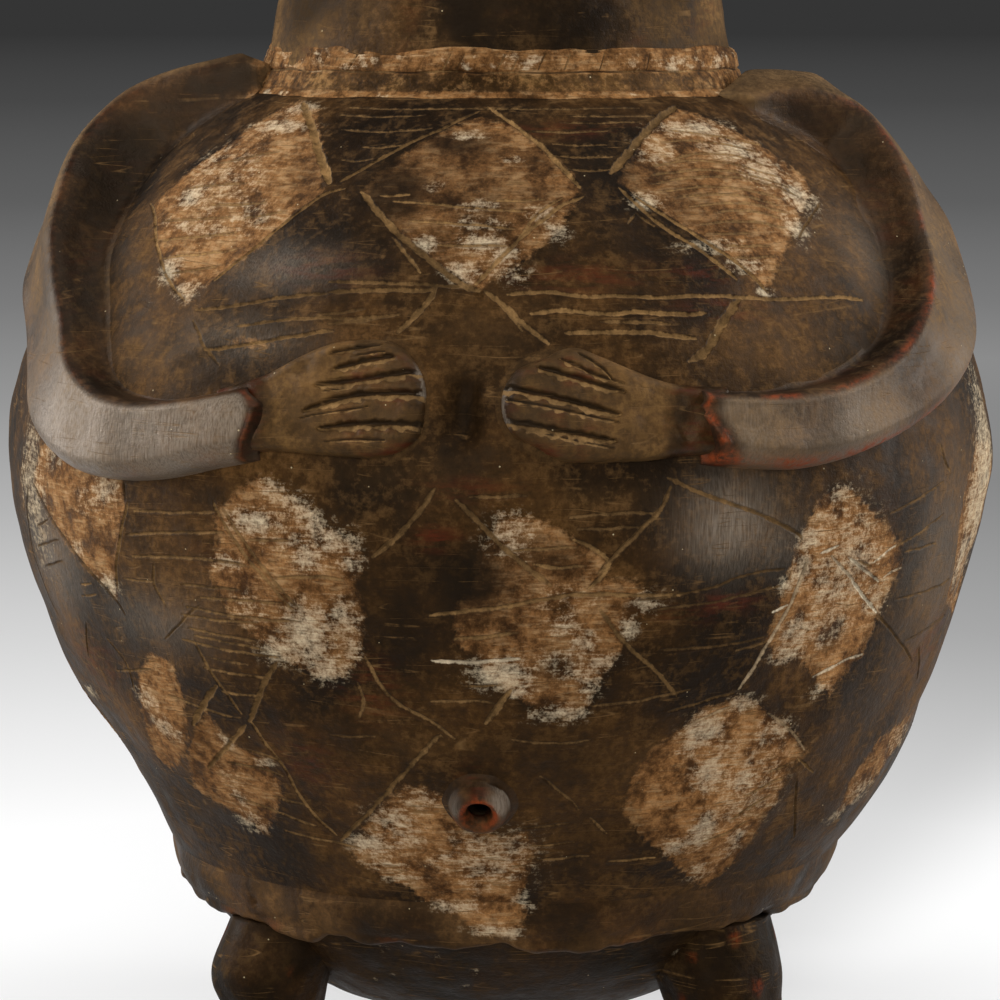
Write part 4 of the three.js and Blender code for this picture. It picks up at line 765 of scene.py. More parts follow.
for azimuth in range(84, 280, 14):
    for z in (262, 232, 150):
        turn = azimuth - 360 if azimuth > 180 else azimuth
        low = z + dice.uniform(-8, 8)
        score(0.9, dice.uniform(0.3, 0.7), (turn - 5, low), (turn, low + dice.uniform(-1, 1)),
              (turn + 6, low + 1))

# Smoke and fire: greasy bloom painted with a grey sheen, ember-red spots, and soot, which also
# holds painted shade in two hollows
for azimuth, z, wide, tall, strength in [
        (24.7, 205, 15, 13, 1), (-27.7, 280.4, 19, 8, 0.45), (30, 199, 12, 10, 0.45),
        (58, 280, 20, 18, 0.3), (-43.5, 170, 26, 10, 0.35), (-62, 184, 20, 20, 0.5),
        (60, 185, 22, 26, 0.35), (-29.6, 259, 23, 7, 0.3)]:
    dab("bloom_and_sheen", strength, azimuth, z, wide, tall)
for azimuth, z, wide, tall, strength in [
        (-6.5, 203, 6, 3.4, 1), (25, 180.8, 11, 3.2, 0.8), (20.9, 177.4, 11, 3, 0.5),
        (11, 279.3, 20, 5, 0.6), (-15, 154, 9, 11, 0.6), (25.3, 278.5, 15, 3.6, 0.6),
        (-22.8, 280.2, 14, 5, 0.6), (26.7, 268.2, 15, 3.6, 0.6), (44.7, 189.1, 9, 13, 0.35),
        (66.3, 154.4, 16, 10, 0.5), (10.6, 321.4, 20, 3.6, 0.6), (-27.4, 193.6, 15, 7, 0.4),
        (-3.1, 217.5, 13, 3.6, 0.5), (39.2, 164.8, 8, 7, 0.3), (-25.3, 128.4, 11, 10, 0.5),
        (-60, 150, 14, 12, 0.4), (140, 220, 20, 8, 0.6), (-150, 150, 16, 10, 0.5), (100, 145, 14, 12, 0.4),
        (-4.2, 126, 3.4, 4.5, 0.9)]:
    dab("ember", strength, azimuth, z, wide, tall)
for azimuth, z, wide, tall, strength in [
        (-3.1, 190, 15, 14, 0.95), (-10.8, 177.2, 11, 21, 1), (3.5, 197, 8, 8, 0.6),
        (-15.5, 303, 14, 17, 1), (-7, 317, 17, 7, 0.8), (5, 303, 12, 5, 0.45), (-4, 294, 12, 6, 0.5),
        (5, 313, 9, 5, 0.5), (27, 300, 9, 14, 0.4), (-31, 308, 8, 10, 0.35), (-67, 322, 12, 9, 0.6),
        (-73, 300, 7, 18, 0.5), (62, 322, 12, 8, 0.5), (6.2, 196.3, 10, 7, 0.6),
        (18.7, 309.5, 10, 13, 0.6), (-20.1, 136.4, 17, 13, 0.6), (6.7, 131.3, 19, 16, 0.6),
        (22.5, 169.1, 14, 10, 0.6), (-7.6, 309.7, 10, 7, 0.5), (-32, 140.4, 11, 7, 0.5),
        (18.5, 289.1, 14, 13, 0.6), (-2.1, 226.4, 20, 7, 0.4), (-8, 290, 12, 12, 0.5), (6, 163, 5, 5, 0.8),
        (41, 165, 5, 5, 0.7), (-36, 215, 14, 8, 0.4), (24, 225, 20, 8, 0.4), (10, 104, 18, 14, 0.5),
        # Painted shade in the hollow between the fingertips and above the navel's notch
        (-36, 92, 20, 12, 0.5), (-3.9, 241, 6.2, 11, 1.1), (-3, 300, 21, 20, 0.5), (-4.2, 127, 4, 6, 0.8),
        (0, 258, 16, 7, 0.35)]:
    dab("soot", strength, azimuth, z, wide, tall)

# A film of olive-tan dust lies where no hand rubs: under the arms, inside the elbows and low down
for azimuth, z, wide, tall, strength in [
        (-43.5, 251, 28, 13, 0.8), (-53.5, 274, 22, 20, 0.45), (-35.8, 263, 25, 10, 0.5),
        (34.8, 255.6, 37, 13, 0.7), (53.7, 280, 23, 20, 0.3), (-1.7, 265, 15, 13, 0.5),
        (-8.2, 222, 30, 5.4, 0.35), (-58, 197.5, 19, 13, 0.6), (-40, 187, 22, 17, 0.45),
        (62.5, 169.5, 22, 30, 0.7), (56, 142, 24, 20, 0.4), (14, 130.6, 17, 10, 0.4),
        (-10.6, 136, 17, 7.4, 0.45), (9.3, 214, 24, 5.4, 0.4), (15, 243, 21, 6.7, 0.2),
        (-23, 93, 25, 5.4, 0.4), (32.4, 79.6, 28, 4.7, 0.3), (-61, 143, 21, 20, 0.5),
        (-58, 102.5, 19, 10, 0.4), (30.7, 211.5, 16, 13, 0.3), (-21, 225, 22, 4.7, 0.3),
        (62.6, 209, 15, 20, 0.6), (110, 250, 40, 30, 0.5), (160, 200, 50, 40, 0.4),
        (-140, 240, 50, 40, 0.5), (-100, 200, 30, 50, 0.5), (180, 120, 60, 24, 0.5),
        (120, 110, 40, 20, 0.4), (-110, 100, 40, 20, 0.4), (-170, 300, 40, 18, 0.4)]:
    dab("film", strength, azimuth, z, wide, tall)

# Between the fingertips the wall is pushed in, and clay is smeared up round the hands
press(-6.4, 4.2, (-3.9, 246), (-3.9, 236))
press(0.7, 3.2, (-7.6, 262), (-7.4, 252), (-7.5, 240), (-8.6, 229))
press(0.6, 3.2, (-0.6, 262), (-0.8, 250), (-1.0, 240), (-0.4, 229))
press(1.6, 3.6, (-39, 252), (-30, 262), (-21, 265.5))
press(0.8, 5, (-36, 246), (-27, 257), (-19, 262))
dab("field", 6.6, -29, 258, 16, 3.4)
for azimuth, z, size, depth in [(-5.3, 269.9, 1.5, 1.8), (-2.4, 274.2, 1.3, 1.4), (-13.7, 291.7, 1.8, 0.8),
                                (40, 250, 1.4, 0.8), (-50, 240, 1.6, 0.8), (33, 214, 1.2, 0.7),
                                (-12, 200, 1.1, 0.7)]:
    press(-depth, size, (azimuth - 0.1, z), (azimuth + 0.1, z))

# In some lower lozenges the ochre is powdery and painted paler, as painted light on these
# downward-facing lozenges
for azimuth, z, wide, tall, powder_and_light in [
        (28, 117, 34, 38, 8), (38, 187, 30, 44, 7), (-11, 92, 36, 30, 5), (-45, 128, 34, 34, 3)]:
    cells, _, _ = window(azimuth, z, wide, tall)
    sheet["field"][cells] += powder_and_light * (sheet["field"][cells] > 7.5)

# The wall's mesh: even cells, halved up to three times where something is drawn
COLUMNS, ROWS = 300, 120
NAVEL_AZIMUTH, NAVEL_Z, NAVEL_BORE, NAVEL_WALL_R = -4.2, 116.6, 3.9, 146
wide = np.linspace(-180, 180, COLUMNS + 1)
tall = np.linspace(0, run_length, ROWS + 1)
spots = np.stack(np.broadcast_arrays(wide[None, :], tall[:, None]), -1).reshape(-1, 2).copy()
navel_run = float(np.interp(NAVEL_Z, line_z, line_run))
navel_col, navel_row = int(np.argmin(abs(wide - NAVEL_AZIMUTH))), int(np.argmin(abs(tall - navel_run)))
rim_cells = ([(-2, k) for k in range(-2, 2)] + [(k, 2) for k in range(-2, 2)]
             + [(2, -k) for k in range(-2, 2)] + [(-k, -2) for k in range(-2, 2)])


def grid_faces(first, skip_row):
    """Triangles of the grid whose points start at first, but for four by four cells at the navel."""
    i, j = np.meshgrid(np.arange(ROWS), np.arange(COLUMNS), indexing="ij")
    kept = ~((i >= skip_row - 2) & (i < skip_row + 2) & (j >= navel_col - 2) & (j < navel_col + 2))
    a = first + i[kept] * (COLUMNS + 1) + j[kept]
    return np.concatenate([np.stack([a, a + 1, a + COLUMNS + 2], 1),
                           np.stack([a, a + COLUMNS + 2, a + COLUMNS + 1], 1)])


def read_sheet(field, azimuth, run):
    """Reads the sheet between its cells."""
    x, y = (azimuth + 180) / AZ_STEP, np.clip(run / RUN_STEP, 0, sheet_tall - 1.001)
    i, j = np.floor(y).astype(int), np.floor(x).astype(int)
    fy, fx = y - i, x - j
    j0, j1 = j % sheet_wide, (j + 1) % sheet_wide
    return ((field[i, j0] * (1 - fx) + field[i, j1] * fx) * (1 - fy)
            + (field[i + 1, j0] * (1 - fx) + field[i + 1, j1] * fx) * fy)


def finer(spots, faces, near):
    """Halves every edge whose middle lies within near mm of a scored line."""
    edges = np.sort(np.concatenate([faces[:, [0, 1]], faces[:, [1, 2]], faces[:, [2, 0]]]), axis=1)
    edges, back = np.unique(edges, axis=0, return_inverse=True)
    middle = (spots[edges[:, 0]] + spots[edges[:, 1]]) / 2
    detail = read_sheet(sheet["edge"], middle[:, 0], middle[:, 1])
    split = (detail < near) & (middle[:, 1] > 4) & (middle[:, 1] < run_length - 4)
    split &= np.hypot(np.radians(middle[:, 0] - NAVEL_AZIMUTH) * NAVEL_WALL_R,
                      middle[:, 1] - navel_run) > 10
    number = np.full(len(edges), -1)
    number[split] = len(spots) + np.arange(split.sum())
    spots = np.concatenate([spots, middle[split]])
    mids = number[back.reshape(3, -1).T]
    count = (mids >= 0).sum(1)
    out = [faces[count == 0]]
    for k in range(3):
        v, m = np.roll(faces, -k, 1), np.roll(mids, -k, 1)
        one = (count == 1) & (m[:, 0] >= 0)
        out += [np.stack([v[one, 0], m[one, 0], v[one, 2]], 1),
                np.stack([m[one, 0], v[one, 1], v[one, 2]], 1)]
        two = (count == 2) & (m[:, 2] < 0)
        out += [np.stack([m[two, 0], v[two, 1], m[two, 1]], 1),
                np.stack([v[two, 0], m[two, 0], m[two, 1]], 1),
                np.stack([v[two, 0], m[two, 1], v[two, 2]], 1)]
    v, m = faces[count == 3], mids[count == 3]
    out += [np.stack([v[:, 0], m[:, 0], m[:, 2]], 1), np.stack([m[:, 0], v[:, 1], m[:, 1]], 1),
            np.stack([m[:, 2], m[:, 1], v[:, 2]], 1), m]
    return spots, np.concatenate(out)


# The navel's hole is round on both faces of the wall, and the inner one lies lower by the wall's slope
outer_faces = grid_faces(0, navel_row)
inner_spots = spots.copy()
INNER_DROP = 4.6
for across, up in rim_cells:
    turn = math.atan2(up, across)
    ring = [NAVEL_BORE * math.cos(turn) / float(wall_radius(NAVEL_Z)), NAVEL_BORE * math.sin(turn)]
    spots[(navel_row + up) * (COLUMNS + 1) + navel_col + across] = (
        NAVEL_AZIMUTH + math.degrees(ring[0]), navel_run + ring[1])
    inner_spots[(navel_row - 2 + up) * (COLUMNS + 1) + navel_col + across] = (
        NAVEL_AZIMUTH + math.degrees(ring[0]), navel_run - INNER_DROP + ring[1])
for near in (4.5, 2.4, 1.0):
    spots, outer_faces = finer(spots, outer_faces, near)
heights = np.interp(spots[:, 1], line_run, line_z)
marks = {word: read_sheet(sheet[word], spots[:, 0], spots[:, 1]) for word in
         ("field", "kaolin", "bloom_and_sheen", "ember", "soot", "fill", "film", "edge", "form", "groove")}
marks["score"] = np.clip(2 - marks.pop("edge"), 0, 4)
marks["film"] *= 0.35
raised = marks.pop("form") + marks.pop("groove")
skin = on_wall(spots[:, 0], heights, raised * np.clip(spots[:, 1] / 5, 0, 1))
inner_z = np.interp(inner_spots[:, 1], line_run, line_z)
lining = on_wall(inner_spots[:, 0], inner_z, -WALL)
lining[:, 2] = np.clip(lining[:, 2], joint_z, shoulder_z)
for row, rim in ((0, JOINT_RADIUS - WALL), (ROWS, SHOULDER_RADIUS - WALL)):
    at = slice(row * (COLUMNS + 1), (row + 1) * (COLUMNS + 1))
    turn = np.radians(wide)
    lining[at] = np.stack([rim * np.sin(turn), -rim * np.cos(turn), np.full(turn.shape, inner_z[at][0])], 1)
first = len(skin)
inner_faces = grid_faces(first, navel_row - 2)[:, ::-1]
j = np.arange(COLUMNS)
low_out, low_in = j, first + j
top_out, top_in = ROWS * (COLUMNS + 1) + j, first + ROWS * (COLUMNS + 1) + j
rims = [np.stack([low_out, low_in + 1, low_out + 1], 1), np.stack([low_out, low_in, low_in + 1], 1),
        np.stack([top_out, top_out + 1, top_in + 1], 1), np.stack([top_out, top_in + 1, top_in], 1)]
hole_out = np.array([(navel_row + up) * (COLUMNS + 1) + navel_col + across for across,
                     up in rim_cells])[::-1]
hole_in = first + hole_out - 2 * (COLUMNS + 1)
rims += [np.stack([hole_out, np.roll(hole_out, -1), np.roll(hole_in, -1)], 1),
         np.stack([hole_out, np.roll(hole_in, -1), hole_in], 1)]
# Each corner's place on the map: the outer wall above, the inner wall and the rims below it
points = np.concatenate([skin, lining])
map_of = np.concatenate([
    np.stack([(spots[:, 0] + 180) / 360, 0.2 + 0.8 * spots[:, 1] / run_length], 1),
    np.stack([(inner_spots[:, 0] + 180) / 360, 0.02 + 0.15 * inner_spots[:, 1] / run_length], 1)])
faces = np.concatenate([outer_faces, inner_faces, *rims])
maps = map_of[faces]
# Joins the sheet's two upright edges at the back
_, keep, weld = np.unique(np.round(points, 4), axis=0, return_index=True, return_inverse=True)
faces = weld.ravel()[faces]
used, faces = np.unique(faces, return_inverse=True)
faces = faces.reshape(-1, 3)
keep = keep[used]
marks = {word: np.concatenate([v, np.zeros(len(lining))])[keep] for word, v in marks.items()}
# The hole through the wall is painted black, as painted shade
from_bore = np.linalg.norm(points[keep] * [1, 0, 1] - on_wall(NAVEL_AZIMUTH, NAVEL_Z) * [1, 0, 1], axis=1)
marks["soot"] = np.maximum(marks["soot"], np.exp(-(from_bore / 8) ** 4) * (points[keep][:, 1] < 0))
whole = (faces[:, 0] != faces[:, 1]) & (faces[:, 1] != faces[:, 2]) & (faces[:, 2] != faces[:, 0])
burnished_terracotta = fired_clay("burnished_terracotta", "#140b04", "#3f2911", "#6a4e2e", 0.6, 0.12)
clay_piece("belly_clay", (points[keep], faces[whole], maps[whole]), burnished_terracotta,
           ["belly"], marks)


# BELT. A strap of clay laid over the joint of bowl and belly while both were damp. Its upper edge
# is smeared into the wall, and its lower edge was left ragged over the bowl.
BELT_COLUMNS = 720
turn_deg = np.linspace(-180, 180, BELT_COLUMNS, endpoint=False)
turn = np.radians(turn_deg)
circle = np.stack([np.sin(turn), -np.cos(turn), 0 * turn], 1) * JOINT_RADIUS
rag = 1.5 * wobble(circle, 46, 31) + 0.8 * wobble(circle, 15, 32) + 0.3 * wobble(circle, 6, 33)
swell_out = 0.5 * wobble(circle, 36, 34) + 0.15 * wobble(circle, 14, 35)
section = [(-0.9, joint_z + 15), (0.3, joint_z + 12.6), (1.7, joint_z + 9.8), (3.2, joint_z + 6),
           (4.3, joint_z + 2.4),
           (4.4, joint_z - 0.6), (3.6, joint_z - 2.4), (1.6, joint_z - 3.3), (-0.4, joint_z - 3),
           (-1.6, joint_z + 3),
           (-1.6, joint_z + 11)]
rings = []
for column, azimuth in enumerate(turn_deg):
    edge = [(out + (swell_out[column] if 1 < k < 8 else 0), z + (rag[column] if 4 < k < 9 else 0))
            for k, (out, z) in enumerate(section)]
    line = curve(edge + [edge[0]], np.linspace(0, 1, 41)[:-1])
    radius = np.where(line[:, 1] >= joint_z, wall_radius(np.maximum(line[:, 1], joint_z)), JOINT_RADIUS)
    r = radius + line[:, 0]
    rings.append(np.stack([out_of_true(line[:, 1]) + r * math.sin(turn[column]),
                           -r * math.cos(turn[column]), line[:, 1]], 1))
rings = np.array(rings)
pit_at = on_wall(-46.4, 72.0)
away = np.linalg.norm(rings - (pit_at + [-2, -3.5, -1]), axis=2)
rings -= (rings * [1, 1, 0]) / 108 * (1.6 * np.exp(-(away / 1.6) ** 2))[..., None]
belt_soot = np.clip(0.2 + 0.4 * wobble(rings, 30, 36), 0, 0.7)
belt_film = np.clip(0.3 + 0.4 * wobble(rings, 24, 38), 0, 0.7)
belt_worn = np.clip(0.3 * wobble(rings, 22, 37) - 0.15, 0, 0.4) * (rings[..., 2] < joint_z)
# Pigment and smoke run on from the wall over the smeared edge
at = (np.degrees(np.arctan2(rings[..., 0] - 5, -rings[..., 1])), np.interp(rings[..., 2], line_z, line_run))
carried = {word: read_sheet(sheet[word], *at) for word in ("field", "kaolin", "ember")}
belt_soot = np.maximum(belt_soot, read_sheet(sheet["soot"], *at))
clay_piece("base_belt_clay", loft(rings, joined=True), fired_clay(
    "belt_clay", "#180e05", "#3e2812", "#62472a", 0.5, 0.12), ["base_belt"],
    {"soot": belt_soot, "worn": belt_worn, "film": belt_film, **carried})


# NAVEL. A knob of clay luted to the lower belly and pierced right through the wall with a stick.
# It is burnished nearly black, its rim is rubbed orange, and a notch runs up from it.
def ease(x, low, high):
    """Goes smoothly from 0 at low to 1 at high."""
    x = np.clip((x - low) / (high - low), 0, 1)
    return x * x * (3 - 2 * x)


navel = on_wall(NAVEL_AZIMUTH, NAVEL_Z)
outward = on_wall(NAVEL_AZIMUTH, NAVEL_Z, 1) - navel
east = np.cross([0, 0, 1], outward)
east /= np.linalg.norm(east)
upward = np.cross(outward, east)
round_it = np.linspace(0, 2 * math.pi, 120, endpoint=False)
knob = [(12.6, -1.6), (10.8, -0.3), (9.8, 0.6), (9.1, 2.2), (8.3, 4.2), (7.1, 5.6), (5.8, 6.0), (4.7, 5.4),
        (4.0, 4.2)]
line = curve(knob, np.linspace(0, 1, 34))
degrees = np.degrees(round_it)
lobes = 1 + 0.02 * np.exp(-((degrees - 58) / 20) ** 2) + 0.02 * np.exp(-((degrees - 126) / 20) ** 2)
notch = np.exp(-((degrees - 91) / 17) ** 2)
reach = line[None, :, 0] * (1 + (lobes[:, None] - 1) * np.clip(line[None, :, 0] / 8, 0, 1))
rise = line[None, :, 1] - 3 * notch[:, None] * np.clip((line[None, :, 0] - 4.6) / 3, 0,
        1) * np.clip(line[None, :, 1] / 3, 0, 1)
face = (navel + east * (reach * np.cos(round_it)[:, None])[..., None]
        + upward * (reach * np.sin(round_it)[:, None])[..., None] + outward * rise[..., None])
face += (outward * (0.25 * wobble(face, 7, 41))[..., None])
bore = []
for depth in (0.4, 1.4, 3, 6, 9, 11):
    along = face[:, -1, 1:2] + depth
    bore.append(np.concatenate([navel[0] + 3.72 * np.cos(round_it)[:, None], along,
                                navel[2] + 3.72 * np.sin(round_it)[:, None]], 1))
back_out = navel + outward * -4 + 6.5 * (east * np.cos(round_it)[:, None]
                                         + upward * np.sin(round_it)[:, None])
rings = np.concatenate([face, np.stack(bore, 1), back_out[:, None]], 1)
from_axis = np.concatenate([np.abs(reach), np.full((len(round_it), 7), 3.7)], 1)
ragged = 0.5 + 0.5 * np.sin(degrees / 9)[:, None] * np.sin(degrees / 23 + 1)[:, None]
worn = np.exp(-((from_axis - 5.0) / 1.1) ** 2) * (0.8 + 0.4 * np.sin(round_it)[:, None])
worn = worn + np.exp(-((from_axis - 8.4) / 1) ** 2) * ragged * (np.sin(round_it)[:, None] < -0.2) * 0.6
# Painted glints on the burnished lobes, strongest on the right one, where they also shine
gloss_and_glint = 1.3 * np.exp(-((degrees - 30) / 30) ** 2) + 0.5 * np.exp(-((degrees - 165)
        / 22) ** 2) + np.exp(-((degrees - 390) / 30) ** 2)
gloss_and_glint = gloss_and_glint[:, None] * (from_axis > 5.8) * (from_axis < 9.6) * (0.7 + 0.5 * ragged)
# Painted shade in the bore, in the notch and in a crescent under the boss, and soot on its apron
deep = np.zeros(from_axis.shape)
deep[:, -7:] = 1
deep[:, :34] = np.maximum(notch[:, None] * 0.45,
                          0.75 * ease(-np.sin(round_it)[:, None], 0.2, 0.7)
                          * ease(from_axis[:, :34], 7.8, 9))
deep[:, :34] = np.maximum(deep[:, :34], 0.5 * ease(from_axis[:, :34], 8.8, 10))
clay_piece("navel_boss_clay", loft(rings, joined=True), fired_clay(
    "burnished_knob_clay", "#1a0f06", "#3d2711", "#5c4227", 0.55, 0.2, 0.7, 0.35),
           ["navel_boss"],
    {"worn": np.clip(worn, 0, 1), "soot": deep, "bloom_and_sheen": np.clip(gloss_and_glint, 0, 1),
     "ember": 1.2 * notch[:, None] + 0 * from_axis})


# ARMS. Flattened rolls of clay that leave the collar, sweep round the shoulder and turn in to the
# cuffs. Each was luted on and thumbed into the wall along its inner side, then burnished hard, so
# the high edges are worn through to orange.
arms = {
    "left": dict(inward=1, root=9.5, crest=24, upper=30, slant=0.3, valley=0.0, cuff=(1.5, 4.5, -3),
                 places=[
        (-75, 1.045), (-81.5, 0.994), (-86.5, 0.957), (-87, 0.91), (-82, 0.86), (-74, 0.805), (-66, 0.75),
        (-60, 0.693), (-54.5, 0.643), (-47, 0.61), (-39, 0.608), (-31, 0.626), (-26, 0.64)]),
    "right": dict(inward=-1, root=6, crest=18, upper=34, slant=0.1, valley=1.5, cuff=(4.5, 8, 4), places=[
        (56, 1), (71, 0.988), (77, 0.966), (81, 0.94), (80, 0.905), (77, 0.868), (72.5, 0.822),
        (66.5, 0.77), (61, 0.723), (52.5, 0.676), (43, 0.64), (33, 0.623), (23.3, 0.634)]),
}


ARM_LENGTH = 260


def arm_rings(arm, steps=320, around=64):
    """The rings of an arm, with how far along it and how far across it each point lies."""
    rings, along_all, side_all = [], [], []
    for t in np.linspace(0, 1.012, steps):
        ahead, behind, here = curve(arm["places"], [min(t + 0.02, 1), max(min(t, 1) - 0.02, 0), min(t, 1)])
        z = joint_z + here[1] * body_height
        lift = np.linalg.norm(on_wall(0, joint_z + ahead[1] * body_height)
                              - on_wall(0, joint_z + behind[1] * body_height))
        lift *= math.copysign(1, ahead[1] - behind[1])
        travel = math.radians(ahead[0] - behind[0]) * float(wall_radius(z))
        run = math.hypot(travel, lift)
        across = np.array([-lift, travel]) / run * arm["inward"]
        forward = np.array([travel, lift]) / run
        beyond = max(t - 1, 0) * ARM_LENGTH
        upper = 15 + (arm["upper"] - 15) * ease(t, 0, 0.3)
        half = (upper + (19.5 - upper) * ease(t, 0.55, 0.86)) / 2
        crest = arm["root"] + (arm["crest"] - arm["root"]) * ease(t, 0, 0.2)
        tall = crest + (14 - crest) * ease(t, 0.3, 0.6)
        tall = tall + (11.5 - tall) * ease(t, 0.75, 0.9)
        tall = tall + (8.6 - tall) * ease(t, 0.93, 0.995)
        outer = tall * (1 - arm["slant"] * (1 - ease(t, 0.5, 0.75)))
        hem = 4 + 8 * ease(t, -0.1, 0.1) * (1 - ease(t, 0.52, 0.72))
        # The right arm rises out of the collar; at the cuff's rim both swell, and then fall to the hand
        drop = 1 if arm["inward"] > 0 else 0.04 + 0.96 * ease(t, 0, 0.07)
        drop = drop * (1 + 0.1 * math.exp(-((t - 0.99) / 0.006) ** 2))
        drop = drop * (1 - 0.8 * ease(t, 0.993, 1.012))
        half *= 1 + 0.035 * math.sin(t * 19)
        tall *= 1 + 0.025 * math.sin(t * 15 + 2)
        dip = arm["valley"] * ease(t, 0.6, 0.75)
        section = [(half + hem, -2.2), (half + hem * 0.97, -0.25), (half + hem * 0.8, -0.02),
                   (half + hem * 0.57, tall * 0.012),
                   (half + hem * 0.32, tall * 0.1), (half + hem * 0.1, tall * 0.46),
                   (half - 0.6, tall * 0.8),
                   (half - 2.8, tall * 0.985), (half * 0.55, tall * 0.995 - dip * 0.4),
                   (half * 0.1, (tall * 0.52 + outer * 0.46) - dip),
                   (-half * 0.45, outer * 0.985), (3.4 - half, outer * 0.93), (0.4 - half, outer * 0.66),
                   (-half - 1, outer * 0.34), (-half - 1.5, 0.1), (-half - 1.7, -2.6), (0, -2.9)]
        line = curve(section + [section[0]], np.linspace(0, 1, around + 1)[:-1])
        side, raised = line[:, 0], line[:, 1] * np.where(line[:, 1] > 0, drop, 1)
        scale = math.hypot(1, float(wall_slope(z)))
        # The cuff ends slantwise
        over = np.clip(side / half, -1, 1.2)
        beyond = beyond + (arm["cuff"][0] + arm["cuff"][1] * over + arm["cuff"][2] * over ** 2) * ease(t,
                0.84, 1)
        azimuth = here[0] + np.degrees((across[0] * side + forward[0] * beyond) / float(wall_radius(z)))
        rings.append(np.stack([azimuth, z + (across[1] * side + forward[1] * beyond) / scale, raised], 1))
        along_all.append(np.full(around, t))
        side_all.append(side / half)
    return np.array(rings), np.array(along_all), np.array(side_all)


def smeared(rings, share, passes):
    """Runs the thumb along the rings: each point moves to its neighbours' middle by its share."""
    for _ in range(passes):
        before, after = np.concatenate([rings[:1], rings[:-1]]), np.concatenate([rings[1:], rings[-1:]])
        rings = rings + ((before + after) / 2 - rings) * share[..., None]
    return rings


def laid_on(rings):
    """Azimuth, height and rise as points; what passes the shoulder goes on level, into the collar."""
    azimuth, height, raised = np.moveaxis(rings, -1, 0)
    turn, over = np.radians(azimuth), np.clip(height - shoulder_z, 0, 12)[..., None]
    inward = np.stack([-np.sin(turn), np.cos(turn), 0 * turn], -1)
    return on_wall(azimuth, np.minimum(height, shoulder_z), raised) + inward * over


oiled_arm_clay = fired_clay("oiled_arm_clay", "#180e06", "#3f2812", "#705636", 0.52, 0.3, 0.8, 0.32)
for word, arm in arms.items():
    rings, along, side = arm_rings(arm)
    rings = smeared(rings, ease(side, 0.2, 1.1) * 0.98, 260)
    at = rings[..., 0], np.interp(rings[..., 1], line_z, line_run)
    rings = laid_on(rings)
    rings += 0.3 * wobble(rings, 26, 51)[..., None] * np.array([0.5, -1, 0.5])
    crest = np.exp(-((side - 0.84) / 0.06) ** 2)
    brim = np.exp(-((side + 0.97) / 0.16) ** 2)
    patchy = np.clip(0.5 + 0.7 * wobble(rings, 20, 52), 0, 1)
    elbow = ease(along, 0.4, 0.5)
    if word == "right":
        worn = crest * patchy * 0.8 * ease(along, 0.12, 0.3) + brim * elbow * (0.35 + 0.65 * patchy)
    else:
        worn = crest * patchy * 0.12 + brim * patchy * 0.12
    torn = 0.5 + 0.8 * wobble(rings, 5, 56)
    worn = np.maximum(worn, np.exp(-((along - 0.991) / 0.007) ** 2) * np.clip(torn, 0.2, 1.2)
                      * (0.95 if word == "right" else 0.2))
    inner = ease(side, 0.86, 1.1)
    # Soot, and painted shade on the roll's inner wall, where it faces the chest
    soot = 0.25 * np.clip(0.3 + wobble(rings, 34, 53), 0,
                          1) + 0.75 * inner * (1 - ease(side, 1.35, 1.8)) * (1 - 0.6 * elbow)
    ember = 0.8 * ease(along, 0.972, 0.985) * np.clip(torn + 0.3, 0, 1) + 0.25 * patchy * inner
    cuff = ease(along, 0.965, 0.985)
    # Painted shade on the cuff's end face, where the roll falls to the hand, and soot on the cuff
    soot += 0.75 * ease(along, 0.993, 1.0) + 0.35 * cuff * np.clip(1 - torn, 0, 1)
    # Greasy bloom with a painted pale sheen, strong on the left forearm
    bloom_and_sheen = (0.95 if word == "left" else 0.28) + 0.3 * wobble(rings, 45, 54)
    bloom_and_sheen *= (1 - ease(side, 0.7, 0.85)) * ease(along, 0.5, 0.75) * (1 - cuff)
    film = (0.55 - (0.35 if word == "left" else 0.1) * elbow + 0.2 * wobble(rings, 30, 55)) * (1
            - ease(side, 0.72, 0.84)) * (1 - cuff)
    film = np.maximum(film, 0.9 * (1 - ease(along, 0.01, 0.06)))
    marks = {"worn": worn, "soot": soot, "ember": ember, "bloom_and_sheen": bloom_and_sheen, "film": film}
    # The collar's ochre has run on to the root
    ochred = 9 * (1 - ease(along, 0.02, 0.06)) * ease(side, -0.9, 0.1) * (word == "left")
    # Where the roll is thumbed out into the wall it takes on the wall's own smoke and dust
    on_to = ease(side, 1.15, 1.5)
    marks = {mark: np.clip(amount * (1 - on_to)
                           + (0 if mark == "worn" else read_sheet(sheet[mark], *at)) * on_to, 0, 0.9)
             for mark, amount in marks.items()}
    marks["field"] = np.maximum(ochred, read_sheet(sheet["field"], *at) * on_to)
    clay_piece(word + "_arm_clay", loft(rings), oiled_arm_clay,
               [word + "_upper_arm", word + "_forearm"], marks)
